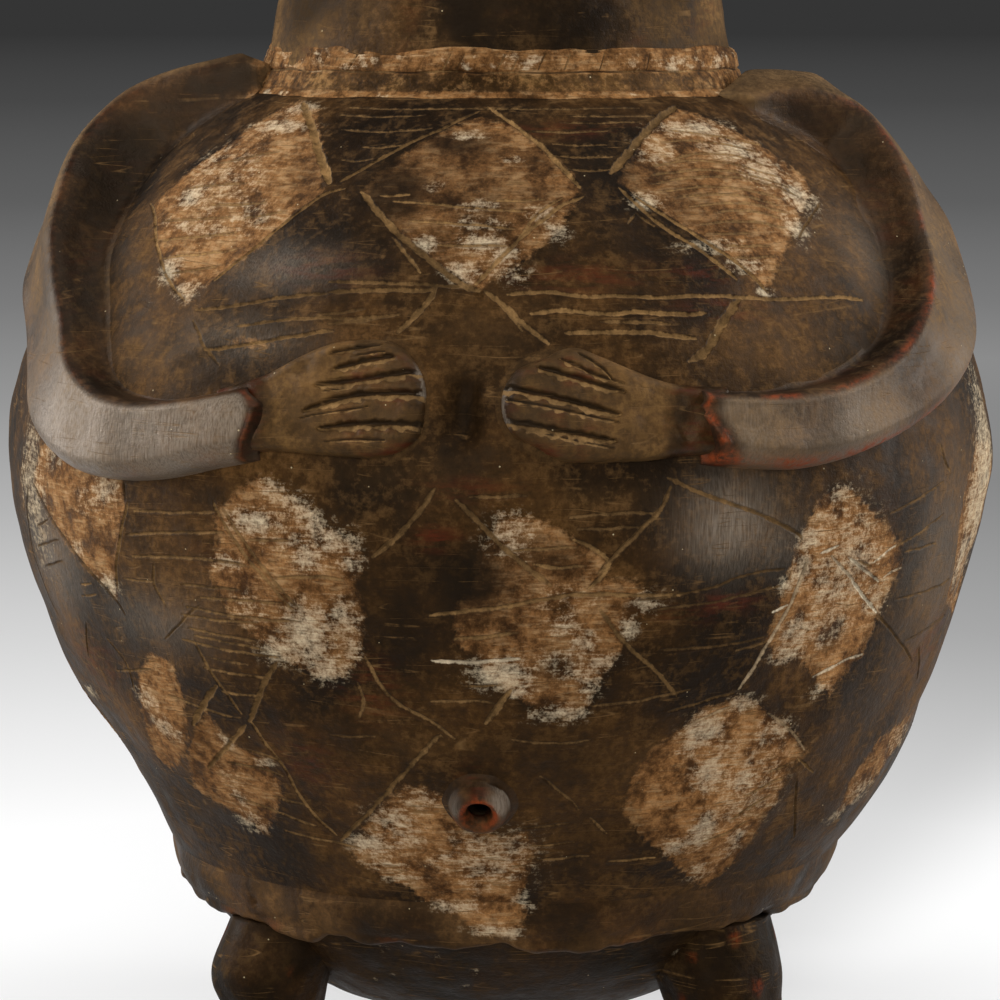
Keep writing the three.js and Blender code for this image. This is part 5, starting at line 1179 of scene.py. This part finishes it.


# HANDS. Flat paddles of clay pressed on where the cuffs end, with fingers gouged into them by a
# stick: the gouges are dusty ochre inside, with painted shade above and painted light below, and
# the backs of the fingers are burnished dark, with painted glints at the tips.
hands = {
    "left": dict(inward=1, azimuth=-17, climb=0.665, wrist=-40, tip=25.6,
                 top=[(-41, 4.5), (-33, 6.6), (-23.8, 9.4), (-13, 14.6), (-6, 16.9), (0, 17.9), (8, 18.2),
                      (13.5, 17.6),
                      (18.2, 15.6), (21.6, 12.2), (24.3, 8), (25.4, 4.5), (25.8, 1.1)],
                 bottom=[(-41, -14.8), (-27.5, -14.6), (-19.8, -14.4), (-6.2, -15.9), (5.3, -17.2),
                         (12, -17.1),
                         (17, -16.0), (21, -13.9), (23.9, -11), (25.1, -6.1), (25.8, 1.1)],
                 gouges=[(1.5, 1.7, (-3, 13.4), (3, 14.6), (12.3, 15.2)),
                         (2.7, 2.2, (-1.5, 9.2), (6.4, 10.6), (16.4, 11.7)),
                         (2.8, 2.2, (-6.8, 4.6), (6.6, 5.6), (15, 6.3), (25.5, 7.2)),
                         (2.9, 2.3, (-10.2, -2.4), (-2.3, -0.2), (6.8, 1.2), (29, 0.4)),
                         (2.9, 2.3, (-5.2, -8.1), (3.9, -7.3), (15, -7.8), (26.5, -8.8)),
                         (1.2, 0.9, (-4, -12.2), (4, -12.0), (14, -12.6)),
                         (1, 0.8, (-12, -5.2), (-4, -3.8), (9, -2.6)),
                         (0.9, 0.7, (-5, 2.4), (3, 3.4)), (1, 0.9, (4, 12.4), (14, 13))]),
    "right": dict(inward=-1, azimuth=11, climb=0.661, wrist=-38, tip=30.4,
                  top=[(-40, 7.6), (-33.9, 7.6), (-24.9, 7.5), (-15.3, 9.2), (-4.8, 12.7), (1.9, 15.1),
                       (8.2, 17.1),
                       (13.1, 16.5), (19, 13.4), (25.7, 10.2), (28.6, 6.9), (30.3, 3.2), (30.5, -1)],
                  bottom=[(-40, -13), (-36.9, -13.1), (-24.5, -13.9), (-12.9, -15.7), (5.6, -17),
                          (13.2, -16.7),
                          (19.3, -13.6), (23, -12.2), (26.2, -10.6), (29.2, -6.5), (30.3, -3), (30.5, -1)],
                  gouges=[(1.6, 1.6, (13.5, 12.2), (4.9, 8.9), (-4.6, 6.3)),
                          (2.6, 2.1, (20, 9.4), (7.9, 6.8), (-4.8, 4.0)),
                          (2.8, 2.2, (31, 3.4), (13.6, 0.6), (-3.6, -2.6)),
                          (1.4, 1.0, (28.9, -0.4), (13.5, -2.6), (-3.5, -5.0)),
                          (2.8, 2.2, (30.5, -6.3), (13.3, -8.6), (-2.4, -10.3)),
                          (1.4, 1.0, (21.8, -9.2), (8.9, -11.1), (-2.4, -12.6)),
                          (1.2, 1.2, (8.2, 14.2), (1.9, 10.8), (-2.2, 6.6))]),
}


# Where a pressed-on relief ends, its lowest edge, the rim of its back and its back's middle, in mm
# above the wall's face
ENDS, LOWEST, BED, CORE = -2.0, -1.6, -2.4, -2.6
HAND_TILT = math.radians(4)


def pressed_on(rise, place, low, high, step):
    """A relief pressed on the wall: kept where rise says it stands, and closed inside the wall."""
    x, y = np.arange(low[0], high[0] + step, step), np.arange(low[1], high[1] + step, step)
    gx, gy = np.meshgrid(x, y, indexing="ij")
    raised = rise(gx, gy)
    there = raised > ENDS
    number = np.arange(gx.size).reshape(gx.shape)
    a, b, c, d = number[:-1, :-1], number[1:, :-1], number[1:, 1:], number[:-1, 1:]
    whole = there[:-1, :-1] & there[1:, :-1] & there[1:, 1:] & there[:-1, 1:]
    faces = np.concatenate([np.stack([a[whole], b[whole], c[whole]], 1),
                            np.stack([a[whole], c[whole], d[whole]], 1)])
    edges = np.concatenate([faces[:, [0, 1]], faces[:, [1, 2]], faces[:, [2, 0]]])
    code = edges[:, 0] * gx.size + edges[:, 1]
    open_edges = edges[~np.isin(code, edges[:, 1] * gx.size + edges[:, 0])]
    used, faces = np.unique(faces, return_inverse=True)
    faces = faces.reshape(-1, 3)
    rank = np.full(gx.size, -1)
    rank[used] = np.arange(len(used))
    p, q = rank[open_edges[:, 0]], rank[open_edges[:, 1]]
    rim = np.unique(p)
    flat_x, flat_y, flat_up = gx.ravel()[used], gy.ravel()[used], raised.ravel()[used]
    top = place(flat_x, flat_y, np.maximum(flat_up, LOWEST))
    bed = place(flat_x[rim], flat_y[rim], np.full(len(rim), BED))
    middle = place(np.array([flat_x.mean()]), np.array([flat_y.mean()]), np.array([CORE]))
    below = np.full(len(used), -1)
    below[rim] = len(used) + np.arange(len(rim))
    centre = np.full(len(p), len(used) + len(rim))
    faces = np.concatenate([faces, np.stack([q, p, below[p]], 1), np.stack([q, below[p], below[q]], 1),
                            np.stack([below[q], below[p], centre], 1)])
    unit = np.stack([(flat_x - low[0]) / (high[0] - low[0] + step),
                     (flat_y - low[1]) / (high[1] - low[1] + step)], 1)
    chart = np.concatenate([unit * 0.86 + 0.01, unit[rim] * 0.1 + 0.89, [[0.94, 0.94]]])
    return (np.concatenate([top, bed, middle]), faces, chart[faces]), flat_x, flat_y, flat_up


def hand_place(hand):
    """Gives the function that lays a hand's own flat places on the wall."""
    def place(x, y, raised):
        z = joint_z + hand["climb"] * body_height
        east = (x * math.cos(HAND_TILT) - y * math.sin(HAND_TILT)) * hand["inward"]
        up = x * math.sin(HAND_TILT) + y * math.cos(HAND_TILT)
        return on_wall(hand["azimuth"] + np.degrees(east / float(wall_radius(z))),
                       z + up / math.hypot(1, float(wall_slope(z))), raised)
    return place


def off_path(x, y, path):
    """How far each place is from a path, which side of it, and how far along it lies."""
    best, along, beside = np.full(x.shape, 99.0), np.zeros(x.shape), np.zeros(x.shape)
    run = 0
    for p, q in zip(path[:-1], path[1:]):
        way = q - p
        long = math.hypot(*way)
        share = np.clip(((x - p[0]) * way[0] + (y - p[1]) * way[1]) / long ** 2, 0, 1)
        off = np.hypot(x - p[0] - share * way[0], y - p[1] - share * way[1])
        closer = off < best
        best, along = np.where(closer, off, best), np.where(closer, run + share * long, along)
        beside = np.where(closer, np.sign((y - p[1]) * way[0] - (x - p[0]) * way[1]), beside)
        run += long
    return best, along, beside, run


def outline_of(hand):
    """The hand's edge, from its lower wrist round the fingertips to its upper one."""
    top = curve(hand["top"], np.linspace(0, 1, 90))
    bottom = curve(hand["bottom"], np.linspace(0, 1, 90))
    return np.concatenate([bottom, top[::-1][1:]])


def gouged(hand, x, y):
    """Depth of the finger gouges, painted shade on their upper side, and their dusty lower side painted
    light.
    """
    depth, crack_shade, dusty_lit_ledge = np.zeros(x.shape), np.zeros(x.shape), np.zeros(x.shape)
    torn = wobble(np.stack([x, y, 0 * x], -1), 2.4, 63)
    for broad, deep, *path in hand["gouges"]:
        path = sorted(path)
        off, along, beside, run = off_path(x, y, curve(path, np.linspace(0, 1, 24)))
        half = broad / 2 * (1 + 0.12 * np.sin(along * 0.8 + broad * 9) + 0.2 * torn)
        half = half * (0.4 + 0.6 * np.clip(np.minimum(along, run - along + 2) / 5, 0, 1))
        # The stick leant: the upper side of each gouge is steep, and the lower one slopes long
        share = np.clip(off / (half * np.where(beside > 0, 0.7, 2.3)), 0, 1)
        depth = np.maximum(depth,
                           0.85 * deep * np.where(beside > 0, (1 - share ** 2) ** 0.8, (1 - share) ** 1.1))
        # Painted shade on the steep upper side, and on the lower side ochre dust painted lighter as lit
        signed = off * beside / half
        crack_shade = np.maximum(crack_shade, 0.9 * np.exp(-((signed - 0.2) / 0.42) ** 2))
        dusty_lit_ledge = np.maximum(dusty_lit_ledge, np.exp(-((signed + 0.85) / 0.6) ** 2) * (1 + 0.25 * torn))
    return depth, crack_shade, dusty_lit_ledge


hand_clay = fired_clay("gouged_hand_clay", "#2a1a09", "#553a1c", "#70532f", 0.42, 0.2, 0.8, 0.5)
for word, hand in hands.items():
    outline = outline_of(hand)

    def rise(x, y):
        off, _, _, _ = off_path(x, y, np.concatenate([outline, outline[:1]]))
        low = np.interp(x, [p[0] for p in hand["bottom"]], [p[1] for p in hand["bottom"]])
        within = np.zeros(x.shape, bool)
        for p, q in zip(outline, np.roll(outline, -1, 0)):
            crosses = (p[1] > y) != (q[1] > y)
            within ^= crosses & (x < (q[0] - p[0]) * (y - p[1]) / (q[1] - p[1] + 1e-12) + p[0])
        signed = np.where(within, off, -off)
        share = np.clip(signed / 4.2, 0, 1)
        body = 5.7 * np.sqrt(np.clip(1 - (1 - share) ** 2.2, 0, 1))
        # Knuckles swell towards the tips, and the palm is a shallow dish behind them
        body += 0.9 * np.exp(-((x - 17) / 9) ** 2) * share - 0.7 * np.exp(-((x + 17) / 9) ** 2) * share
        depth, _, _ = gouged(hand, x, y)
        body += 0.35 * wobble(np.stack([x, y, 0 * x], -1), 7, 64) * share
        return np.where(signed > 0,
                        np.maximum(body - depth * ease(signed, 0, 1.6), 0.2 * np.clip(signed, 0, 1)),
                        signed * 5)

    shape, x, y, up = pressed_on(rise, hand_place(hand), (hand["wrist"], -19), (hand["tip"] + 0.8, 20),
                                 0.36)
    _, crack_shade, dusty_lit_ledge = gouged(hand, x, y)
    tips = ease(x, hand["tip"] - 9, hand["tip"]) * (up > 1)
    noise = np.clip(0.5 + 0.6 * wobble(np.stack([x, y, 0 * x], 1), 9, 61), 0, 1)
    wrist = 1 - ease(x, -27 if word == "left" else -23, -20 if word == "left" else -16)
    clay_piece(word + "_hand_clay", shape, hand_clay, [word + "_hand"], {
        # The lower ledges take ochre dust, painted lighter as lit
        "score": np.clip(1.35 + 1.1 * np.maximum(dusty_lit_ledge, 0), 0, 2.3) * (dusty_lit_ledge > 0.1),
        "fill": 0.6 + 0.38 * noise,
        "film": np.clip(0.42 * (1 - wrist) * (1 - 0.7 * tips), 0, 1),
        # Soot, with painted shade along each gouge's upper side
        "soot": np.clip(0.35 * (1 - noise) + 0.2 * ease(x, -4, 10) * (1 - dusty_lit_ledge)
                        + 0.5 * tips * (0.4 + noise)
                        + 0.55 * wrist + crack_shade, 0, 1),
        "ember": np.clip(wrist * (0.25 + 0.75 * noise) + ease(x, -6, 12) * noise * 0.95, 0, 1),
        # Painted glints along the fingertips' ends
        "bloom_and_sheen": (up > 0.8) * (up < 3.8) * ease(x, hand["tip"] - 4, hand["tip"] - 1.2) * (noise > 0.35)})

    # The fillet of clay that holds the fingertips to the wall
    def fillet_rise(x, y):
        off, _, _, _ = off_path(x, y, outline)
        inside_too = rise(x, y) > 0
        reach = ease(x, 6, 20)
        ridge = 1.1 * np.exp(-(off / 2.4) ** 2)
        ridge = np.where(inside_too, 1.6, ridge)
        edge = np.where(inside_too & (off > 1.6), -3, 0) + np.where(off > 4.2, -3, 0)
        return ridge * reach - 0.35 - 3 * (1 - ease(x, -1, 4)) + edge

    shape, x, y, up = pressed_on(fillet_rise, hand_place(hand), (-2, -25), (hand["tip"] + 8, 26), 0.45)
    noise = np.clip(0.5 + 0.6 * wobble(np.stack([x, y, 0 * x], 1), 8, 62), 0, 1)
    clay_piece(word + "_fingertip_fillet_clay", shape, burnished_terracotta,
               [word + "_fingertip_fillet"], {"soot": 0.25 + 0.3 * noise, "film": 0.25 + 0.1 * noise})


# NECK. A coil-built tube that tapers to its waist and opens a little at the mouth. It is smoked
# dark and scuffed, and stands on the shoulder behind its collar.
neck_low, neck_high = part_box("neck")[0].z * 1000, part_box("neck")[1].z * 1000
neck_line = [(79.5, 0), (72.6, 43), (68, 86), (70, neck_high - neck_low)]
outer_line = curve(neck_line, np.linspace(0, 1, 70))
inner_line = outer_line[::-1] - [9, 0]
neck_rings = turned(np.concatenate([outer_line, inner_line]) + [0, neck_low], 0, 420, 0.6, 71, joined=True)
neck_soot = np.clip(0.4 + 0.6 * wobble(neck_rings, 34, 73), 0, 0.9)
neck_worn = np.clip(0.5 * wobble(neck_rings, 26, 74) - 0.25, 0, 0.4)
neck_film = np.clip(np.abs(neck_rings[..., 0]) / 60 - 0.5 + 0.3 * wobble(neck_rings, 20, 75), 0, 0.8)
clay_piece("neck_clay", loft(neck_rings, joined=True), fired_clay(
    "scuffed_neck_clay", "#1a1007", "#463018", "#715534", 0.55, 0.1), ["neck"],
    {"soot": neck_soot, "ember": neck_worn, "film": neck_film})


# COLLAR. A strip of clay wrapped round the foot of the neck, scored like a rope between two lines
# and rubbed with kaolin, which has stayed in the scoring and gone from the high parts.
collar_low, collar_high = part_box("neck_collar")[0].z * 1000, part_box("neck_collar")[1].z * 1000
COLLAR_COLUMNS = 1500
turn_deg = np.linspace(-180, 180, COLLAR_COLUMNS, endpoint=False)
turn = np.radians(turn_deg)
face_rows = 46
share = np.linspace(0, 1, face_rows)
rise_z = collar_low + (collar_high - collar_low) * share
neck_r = np.interp(rise_z - neck_low, outer_line[:, 1], outer_line[:, 0])
bulge = np.interp(share, [0, 0.1, 0.22, 0.42, 0.5, 0.58, 0.85, 0.95, 1],
                  [4.7, 3.6, 2.7, 1.9, 1.4, 1.5, 1.2, 0.8, 0.1])
COLLAR_STROKES, COLLAR_R = 118, 84
stroke_gap = 360 / COLLAR_STROKES
wander = 0.8 * wobble(np.stack([np.sin(turn), np.cos(turn), 0 * turn], 1) * COLLAR_R, 22, 81)
lean = (turn_deg[None, :] + wander[None, :] * 0.6) / stroke_gap - (share[:, None] - 0.7) * 1.7
nearest = np.abs(lean - np.round(lean)) * stroke_gap * COLLAR_R * math.radians(1)
upper_band = ease(share[:, None], 0.5, 0.56) * (1 - ease(share[:, None], 0.86, 0.92))
number = np.round(lean).astype(int)
some = np.random.default_rng(82).uniform(-0.3, 1, 400).clip(0, 1)[number % 400]
rope = np.clip(1 - (nearest / 0.5) ** 2, 0, 1) ** 0.7 * upper_band * some
lines_there = np.zeros(rope.shape)
for level, deep in ((0.5, 1.0), (0.9, 0.5), (0.12, 0.6)):
    waver = level + 0.02 * wander[None, :] + 0.012 * np.sin(turn * 23)[None, :]
    lines_there = np.maximum(lines_there,
                             deep * np.clip(1 - ((share[:, None] - waver) / 0.032) ** 2, 0, 1) ** 0.7)
depth = 0.4 * rope + 0.5 * lines_there
r = (neck_r + bulge)[:, None] - depth
ring_points = np.stack([r * np.sin(turn), -r * np.cos(turn), rise_z[:, None] + 0 * r], -1)
uneven = 0.5 * wobble(ring_points, 30, 83) + 0.18 * wobble(ring_points, 8, 84)
ring_points[..., 0] += uneven * np.sin(turn)
ring_points[..., 1] -= uneven * np.cos(turn)
ring_points[..., 2] += (0.7 * wobble(ring_points, 34, 85)) * np.clip((share[:, None] - 0.8) * 5, 0, 1)
foot = ring_points[:1] + np.stack([1.8 * np.sin(turn), -1.8 * np.cos(turn), -2.2 + 0 * turn], -1)
ring_points = np.concatenate([foot, ring_points])
back_r = np.array([[np.interp(collar_high - neck_low, outer_line[:, 1], outer_line[:, 0]) - 1],
                   [78.5]]) + 0 * turn
back_z = np.array([[collar_high - 0.5], [collar_low]]) + 0 * turn
back_points = np.stack([back_r * np.sin(turn), -back_r * np.cos(turn), back_z], -1)
rings = np.concatenate([ring_points, back_points])
cut = np.maximum(rope, lines_there)
white = -0.26 + 0.26 * wobble(rings, 16, 86) + 0.16 * wobble(rings, 5, 87)
side_on = np.clip(np.abs(turn_deg[None, :]) / 30 - 1.4, 0, 1)
white[1:face_rows + 1] += 0.3 * upper_band - 0.3 * (1 - side_on) * (1
        - ease(share[:, None], 0.42, 0.52)) + 0.45 * (1 - ease(share[:, None], 0.04, 0.12))
ochred = np.full((face_rows + 3, COLLAR_COLUMNS), 7.6)
ochred[1:face_rows + 1] -= 2.4 * (1 - 0.8 * side_on) * (1
        - ease(share[:, None], 0.42, 0.52)) * ease(share[:, None], 0.05, 0.14)
whitened_collar = fired_clay("whitened_collar_clay", "#2b1b09", "#583e20", "#85683f", 0.62, 0.1, 1.0, 0.6)
clay_piece("neck_collar_clay", loft(rings, joined=True), whitened_collar, ["neck_collar"],
           {
    "score": np.pad(np.clip(1.1 + 1.1 * cut, 0, 2.2) * (cut > 0.05), ((1, 2), (0, 0))),
    "fill": np.clip(0.35 + 0.5 * wobble(rings, 12, 88), 0, 1.2),
    "kaolin": np.clip(white, 0, 0.9), "field": ochred})


# LIP. The mouth's last coil, turned outward and wiped smooth with a wet leaf.
lip_low, lip_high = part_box("mouth_lip")[0].z * 1000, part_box("mouth_lip")[1].z * 1000
lip_line = [(61.6, 0), (70, 0), (73.5, 0.14), (74.6, 0.34), (75.8, 0.62), (74.4, 0.88), (70.5, 1),
            (65, 0.96), (62.2, 0.78), (61.2, 0.45), (61.6, 0)]
lip_line = [(r, lip_low + up * (lip_high - lip_low)) for r, up in lip_line]
lip_rings = turned(lip_line, 41, 360, 0.5, 91)[:-1]
clay_piece("mouth_lip_clay", loft(lip_rings, joined=True), fired_clay(
    "wiped_lip_clay", "#1a1007", "#3d2a15", "#604728", 0.44, 0.25), ["mouth_lip"],
    {"worn": np.clip(0.4 * wobble(lip_rings, 18, 92), 0, 0.5),
     "soot": np.clip(0.3 * wobble(lip_rings, 30, 93), 0, 1)})


# LEGS. Three stubs of solid clay, thumbed on under the belt: thick at the hip, drawn in at the
# ankle, and worn flat where they stand. Orange shows where the foot has rubbed.
hip_z = joint_z - 3.3
for word, azimuth, stance, knee_reach, ankle, knee, hip in [
        ("left_leg", -51, 94, 97, 14, 19.6, 20), ("right_leg", 50, 104, 94, 18.5, 20.8, 21),
        ("rear_leg", 180, 98, 93, 17, 20.5, 21)]:
    parts = [(0, stance, 13), (0.06, stance, 15), (0.28, stance, ankle),
             (0.5, stance + 0.7 * (knee_reach - stance), (ankle + knee) / 2), (0.72, knee_reach, knee),
             (1, 89, hip)]
    line = curve(parts, np.linspace(0, 1, 72))
    round_it = np.linspace(0, 2 * math.pi, 96, endpoint=False)
    turn = math.radians(azimuth)
    up = np.clip(line[:, :1], 0, 1) * hip_z
    rings = np.stack([line[:, 1:2] * math.sin(turn) + line[:, 2:] * np.cos(round_it),
                      -line[:, 1:2] * math.cos(turn) + line[:, 2:] * np.sin(round_it), up + 0 * round_it],
                     -1)
    axis = rings.mean(1, keepdims=True)
    way = (rings - axis) / np.linalg.norm(rings - axis, axis=2, keepdims=True)
    hollow = 0.9 * wobble(rings, 24, 95) + 0.35 * wobble(rings, 9, 96)
    rings = rings + way * (hollow * np.clip(up / 4, 0, 1))[..., None]
    clay_piece(word + "_clay", loft(rings), smoked_earthenware, [word], {
        "soot": np.clip(0.3 + 0.6 * wobble(rings, 22, 97), 0, 0.8),
        "worn": np.clip(0.8 * wobble(rings, 13, 98) - 0.85, 0, 0.5) + 0.3 * (rings[..., 2] < 5)})


# FLOOR AND LIGHT. A pale sweep that fades to dark grey away from the vessel, so that the upper
# ground is dark and the lower one white, under one broad soft light in front and two at the sides.
turn = np.linspace(0, 2 * math.pi, 96, endpoint=False)
reaches = np.concatenate([[0.02], np.geomspace(0.1, 3000, 60)])
ground = np.stack([reaches[:, None] * np.cos(turn), reaches[:, None] * np.sin(turn),
                   0 * reaches[:, None] * turn - 0.0002], -1)
ground_points, ground_faces, _ = loft(ground)
mesh = bpy.data.meshes.new("floor")
mesh.from_pydata((ground_points[:-1]).tolist(), [],
                 ground_faces[(ground_faces < len(ground_points) - 1).all(1)].tolist())
floor = bpy.data.objects.new("floor", mesh)
bpy.context.scene.collection.objects.link(floor)
paper = bpy.data.materials.new("paper_sweep")
paper.use_nodes = True
tree = paper.node_tree
tree.nodes.clear()
place = add(tree, "TexCoord", out="Object")
reach = add(tree, "VectorMath", {0: place}, out="Value", operation="LENGTH")
decades = add(tree, "Math", {0: reach, 1: 10}, operation="LOGARITHM")
decades = add(tree, "MapRange", {0: decades, 1: -0.6, 2: 1.6})
fade = add(tree, "ValToRGB", {0: decades})
stops = [(0.0, "#ffffff"), (0.092, "#fefefe"), (0.132, "#f3f3f3"), (0.185, "#e7e7e7"), (0.267, "#cfcfcf"),
         (0.342, "#b3b3b3"), (0.42, "#969696"), (0.505, "#7a7a7a"), (0.611, "#5e5e5e"), (0.77, "#474747"),
         (0.92, "#3b3b3b"),
         (1.0, "#353535")]
for at, shade in stops[1:-1]:
    fade.node.color_ramp.elements.new(at)
for element, (at, shade) in zip(fade.node.color_ramp.elements, stops):
    element.position, element.color = at, srgb(shade)
# The sweep is a shade darker where the vessel keeps the light off it, behind and to the right
floor_x, floor_y, _ = add(tree, "SeparateXYZ", {0: place}).node.outputs
sheared = add(tree, "Math", {0: floor_y, 1: -0.25, 2: floor_x}, operation="MULTIPLY_ADD")
sheared = add(tree, "Math", {0: sheared}, operation="ABSOLUTE")
spread = add(tree, "Math", {0: floor_y, 1: 0.16, 2: 0.07}, operation="MULTIPLY_ADD")
aside = add(tree, "Math", {0: sheared, 1: spread}, operation="DIVIDE")
shade = add(tree, "MapRange", {0: aside, 1: 0.55, 2: 1.4, 3: 0.41, 4: 0}, interpolation_type="SMOOTHSTEP")
for near, far, low, high in ((0, 0.16, 0, 1), (1.55, 2.5, 1, 0)):
    still = add(tree, "MapRange", {0: floor_y, 1: near, 2: far, 3: low, 4: high})
    shade = add(tree, "Math", {0: shade, 1: still}, operation="MULTIPLY")
shade = add(tree, "Math", {0: 1, 1: shade}, operation="SUBTRACT")
lit = add(tree, "VectorMath", {0: fade, 3: shade}, operation="SCALE")
pale = add(tree, "BsdfDiffuse", {"Color": srgb("#f2f2f2")})
shine = add(tree, "Emission", {"Color": lit, "Strength": 1})
share = add(tree, "MapRange", {0: reach, 1: 0.2, 2: 0.9, 3: 0.55, 4: 1})
shown = add(tree, "MixShader", {0: share, 1: pale, 2: shine})
dull = add(tree, "BsdfDiffuse", {"Color": srgb("#8c8c8c")})
seen = add(tree, "LightPath").node.outputs
either = add(tree, "Math", {0: seen["Is Camera Ray"], 1: seen["Is Glossy Ray"]}, operation="MAXIMUM")
either = add(tree, "Math", {0: either, 1: seen["Is Transmission Ray"]}, operation="MAXIMUM")
shown = add(tree, "MixShader", {0: either, 1: dull, 2: shown})
add(tree, "OutputMaterial", {"Surface": shown})
mesh.materials.append(paper)

world = bpy.data.worlds.new("studio")
bpy.context.scene.world = world
world.use_nodes = True
tree = world.node_tree
tree.nodes.clear()
seen = add(tree, "LightPath").node.outputs
either = add(tree, "Math", {0: seen["Is Camera Ray"], 1: seen["Is Glossy Ray"]}, operation="MAXIMUM")
either = add(tree, "Math", {0: either, 1: seen["Is Transmission Ray"]}, operation="MAXIMUM")
back = add(tree, "Background", {"Color": srgb("#353535"), "Strength": 1})
glow = add(tree, "Background", {"Color": srgb("#ffffff"), "Strength": 0.12})
shown = add(tree, "MixShader", {0: either, 1: glow, 2: back})
add(tree, "OutputWorld", {"Surface": shown})

for name, at, size, watts in [
        ("front_light", (-0.22, -1.45, 0.64), (1.3, 0.9), 17),
        ("top_light", (0.2, -0.3, 1.5), (0.9, 0.9), 6), ("left_light", (-1.2, 0.2, 0.6), (0.5, 1.1), 19),
        ("right_light", (1.2, 0.2, 0.6), (0.5, 1.1), 17)]:
    lamp = bpy.data.lights.new(name, "AREA")
    lamp.shape, lamp.size, lamp.size_y, lamp.energy = "RECTANGLE", size[0], size[1], watts
    holder = bpy.data.objects.new(name, lamp)
    bpy.context.scene.collection.objects.link(holder)
    holder.location = at
    holder.rotation_euler = (Vector((0, 0, 0.24)) - Vector(at)).to_track_quat("-Z", "Y").to_euler()
    holder.visible_camera = False
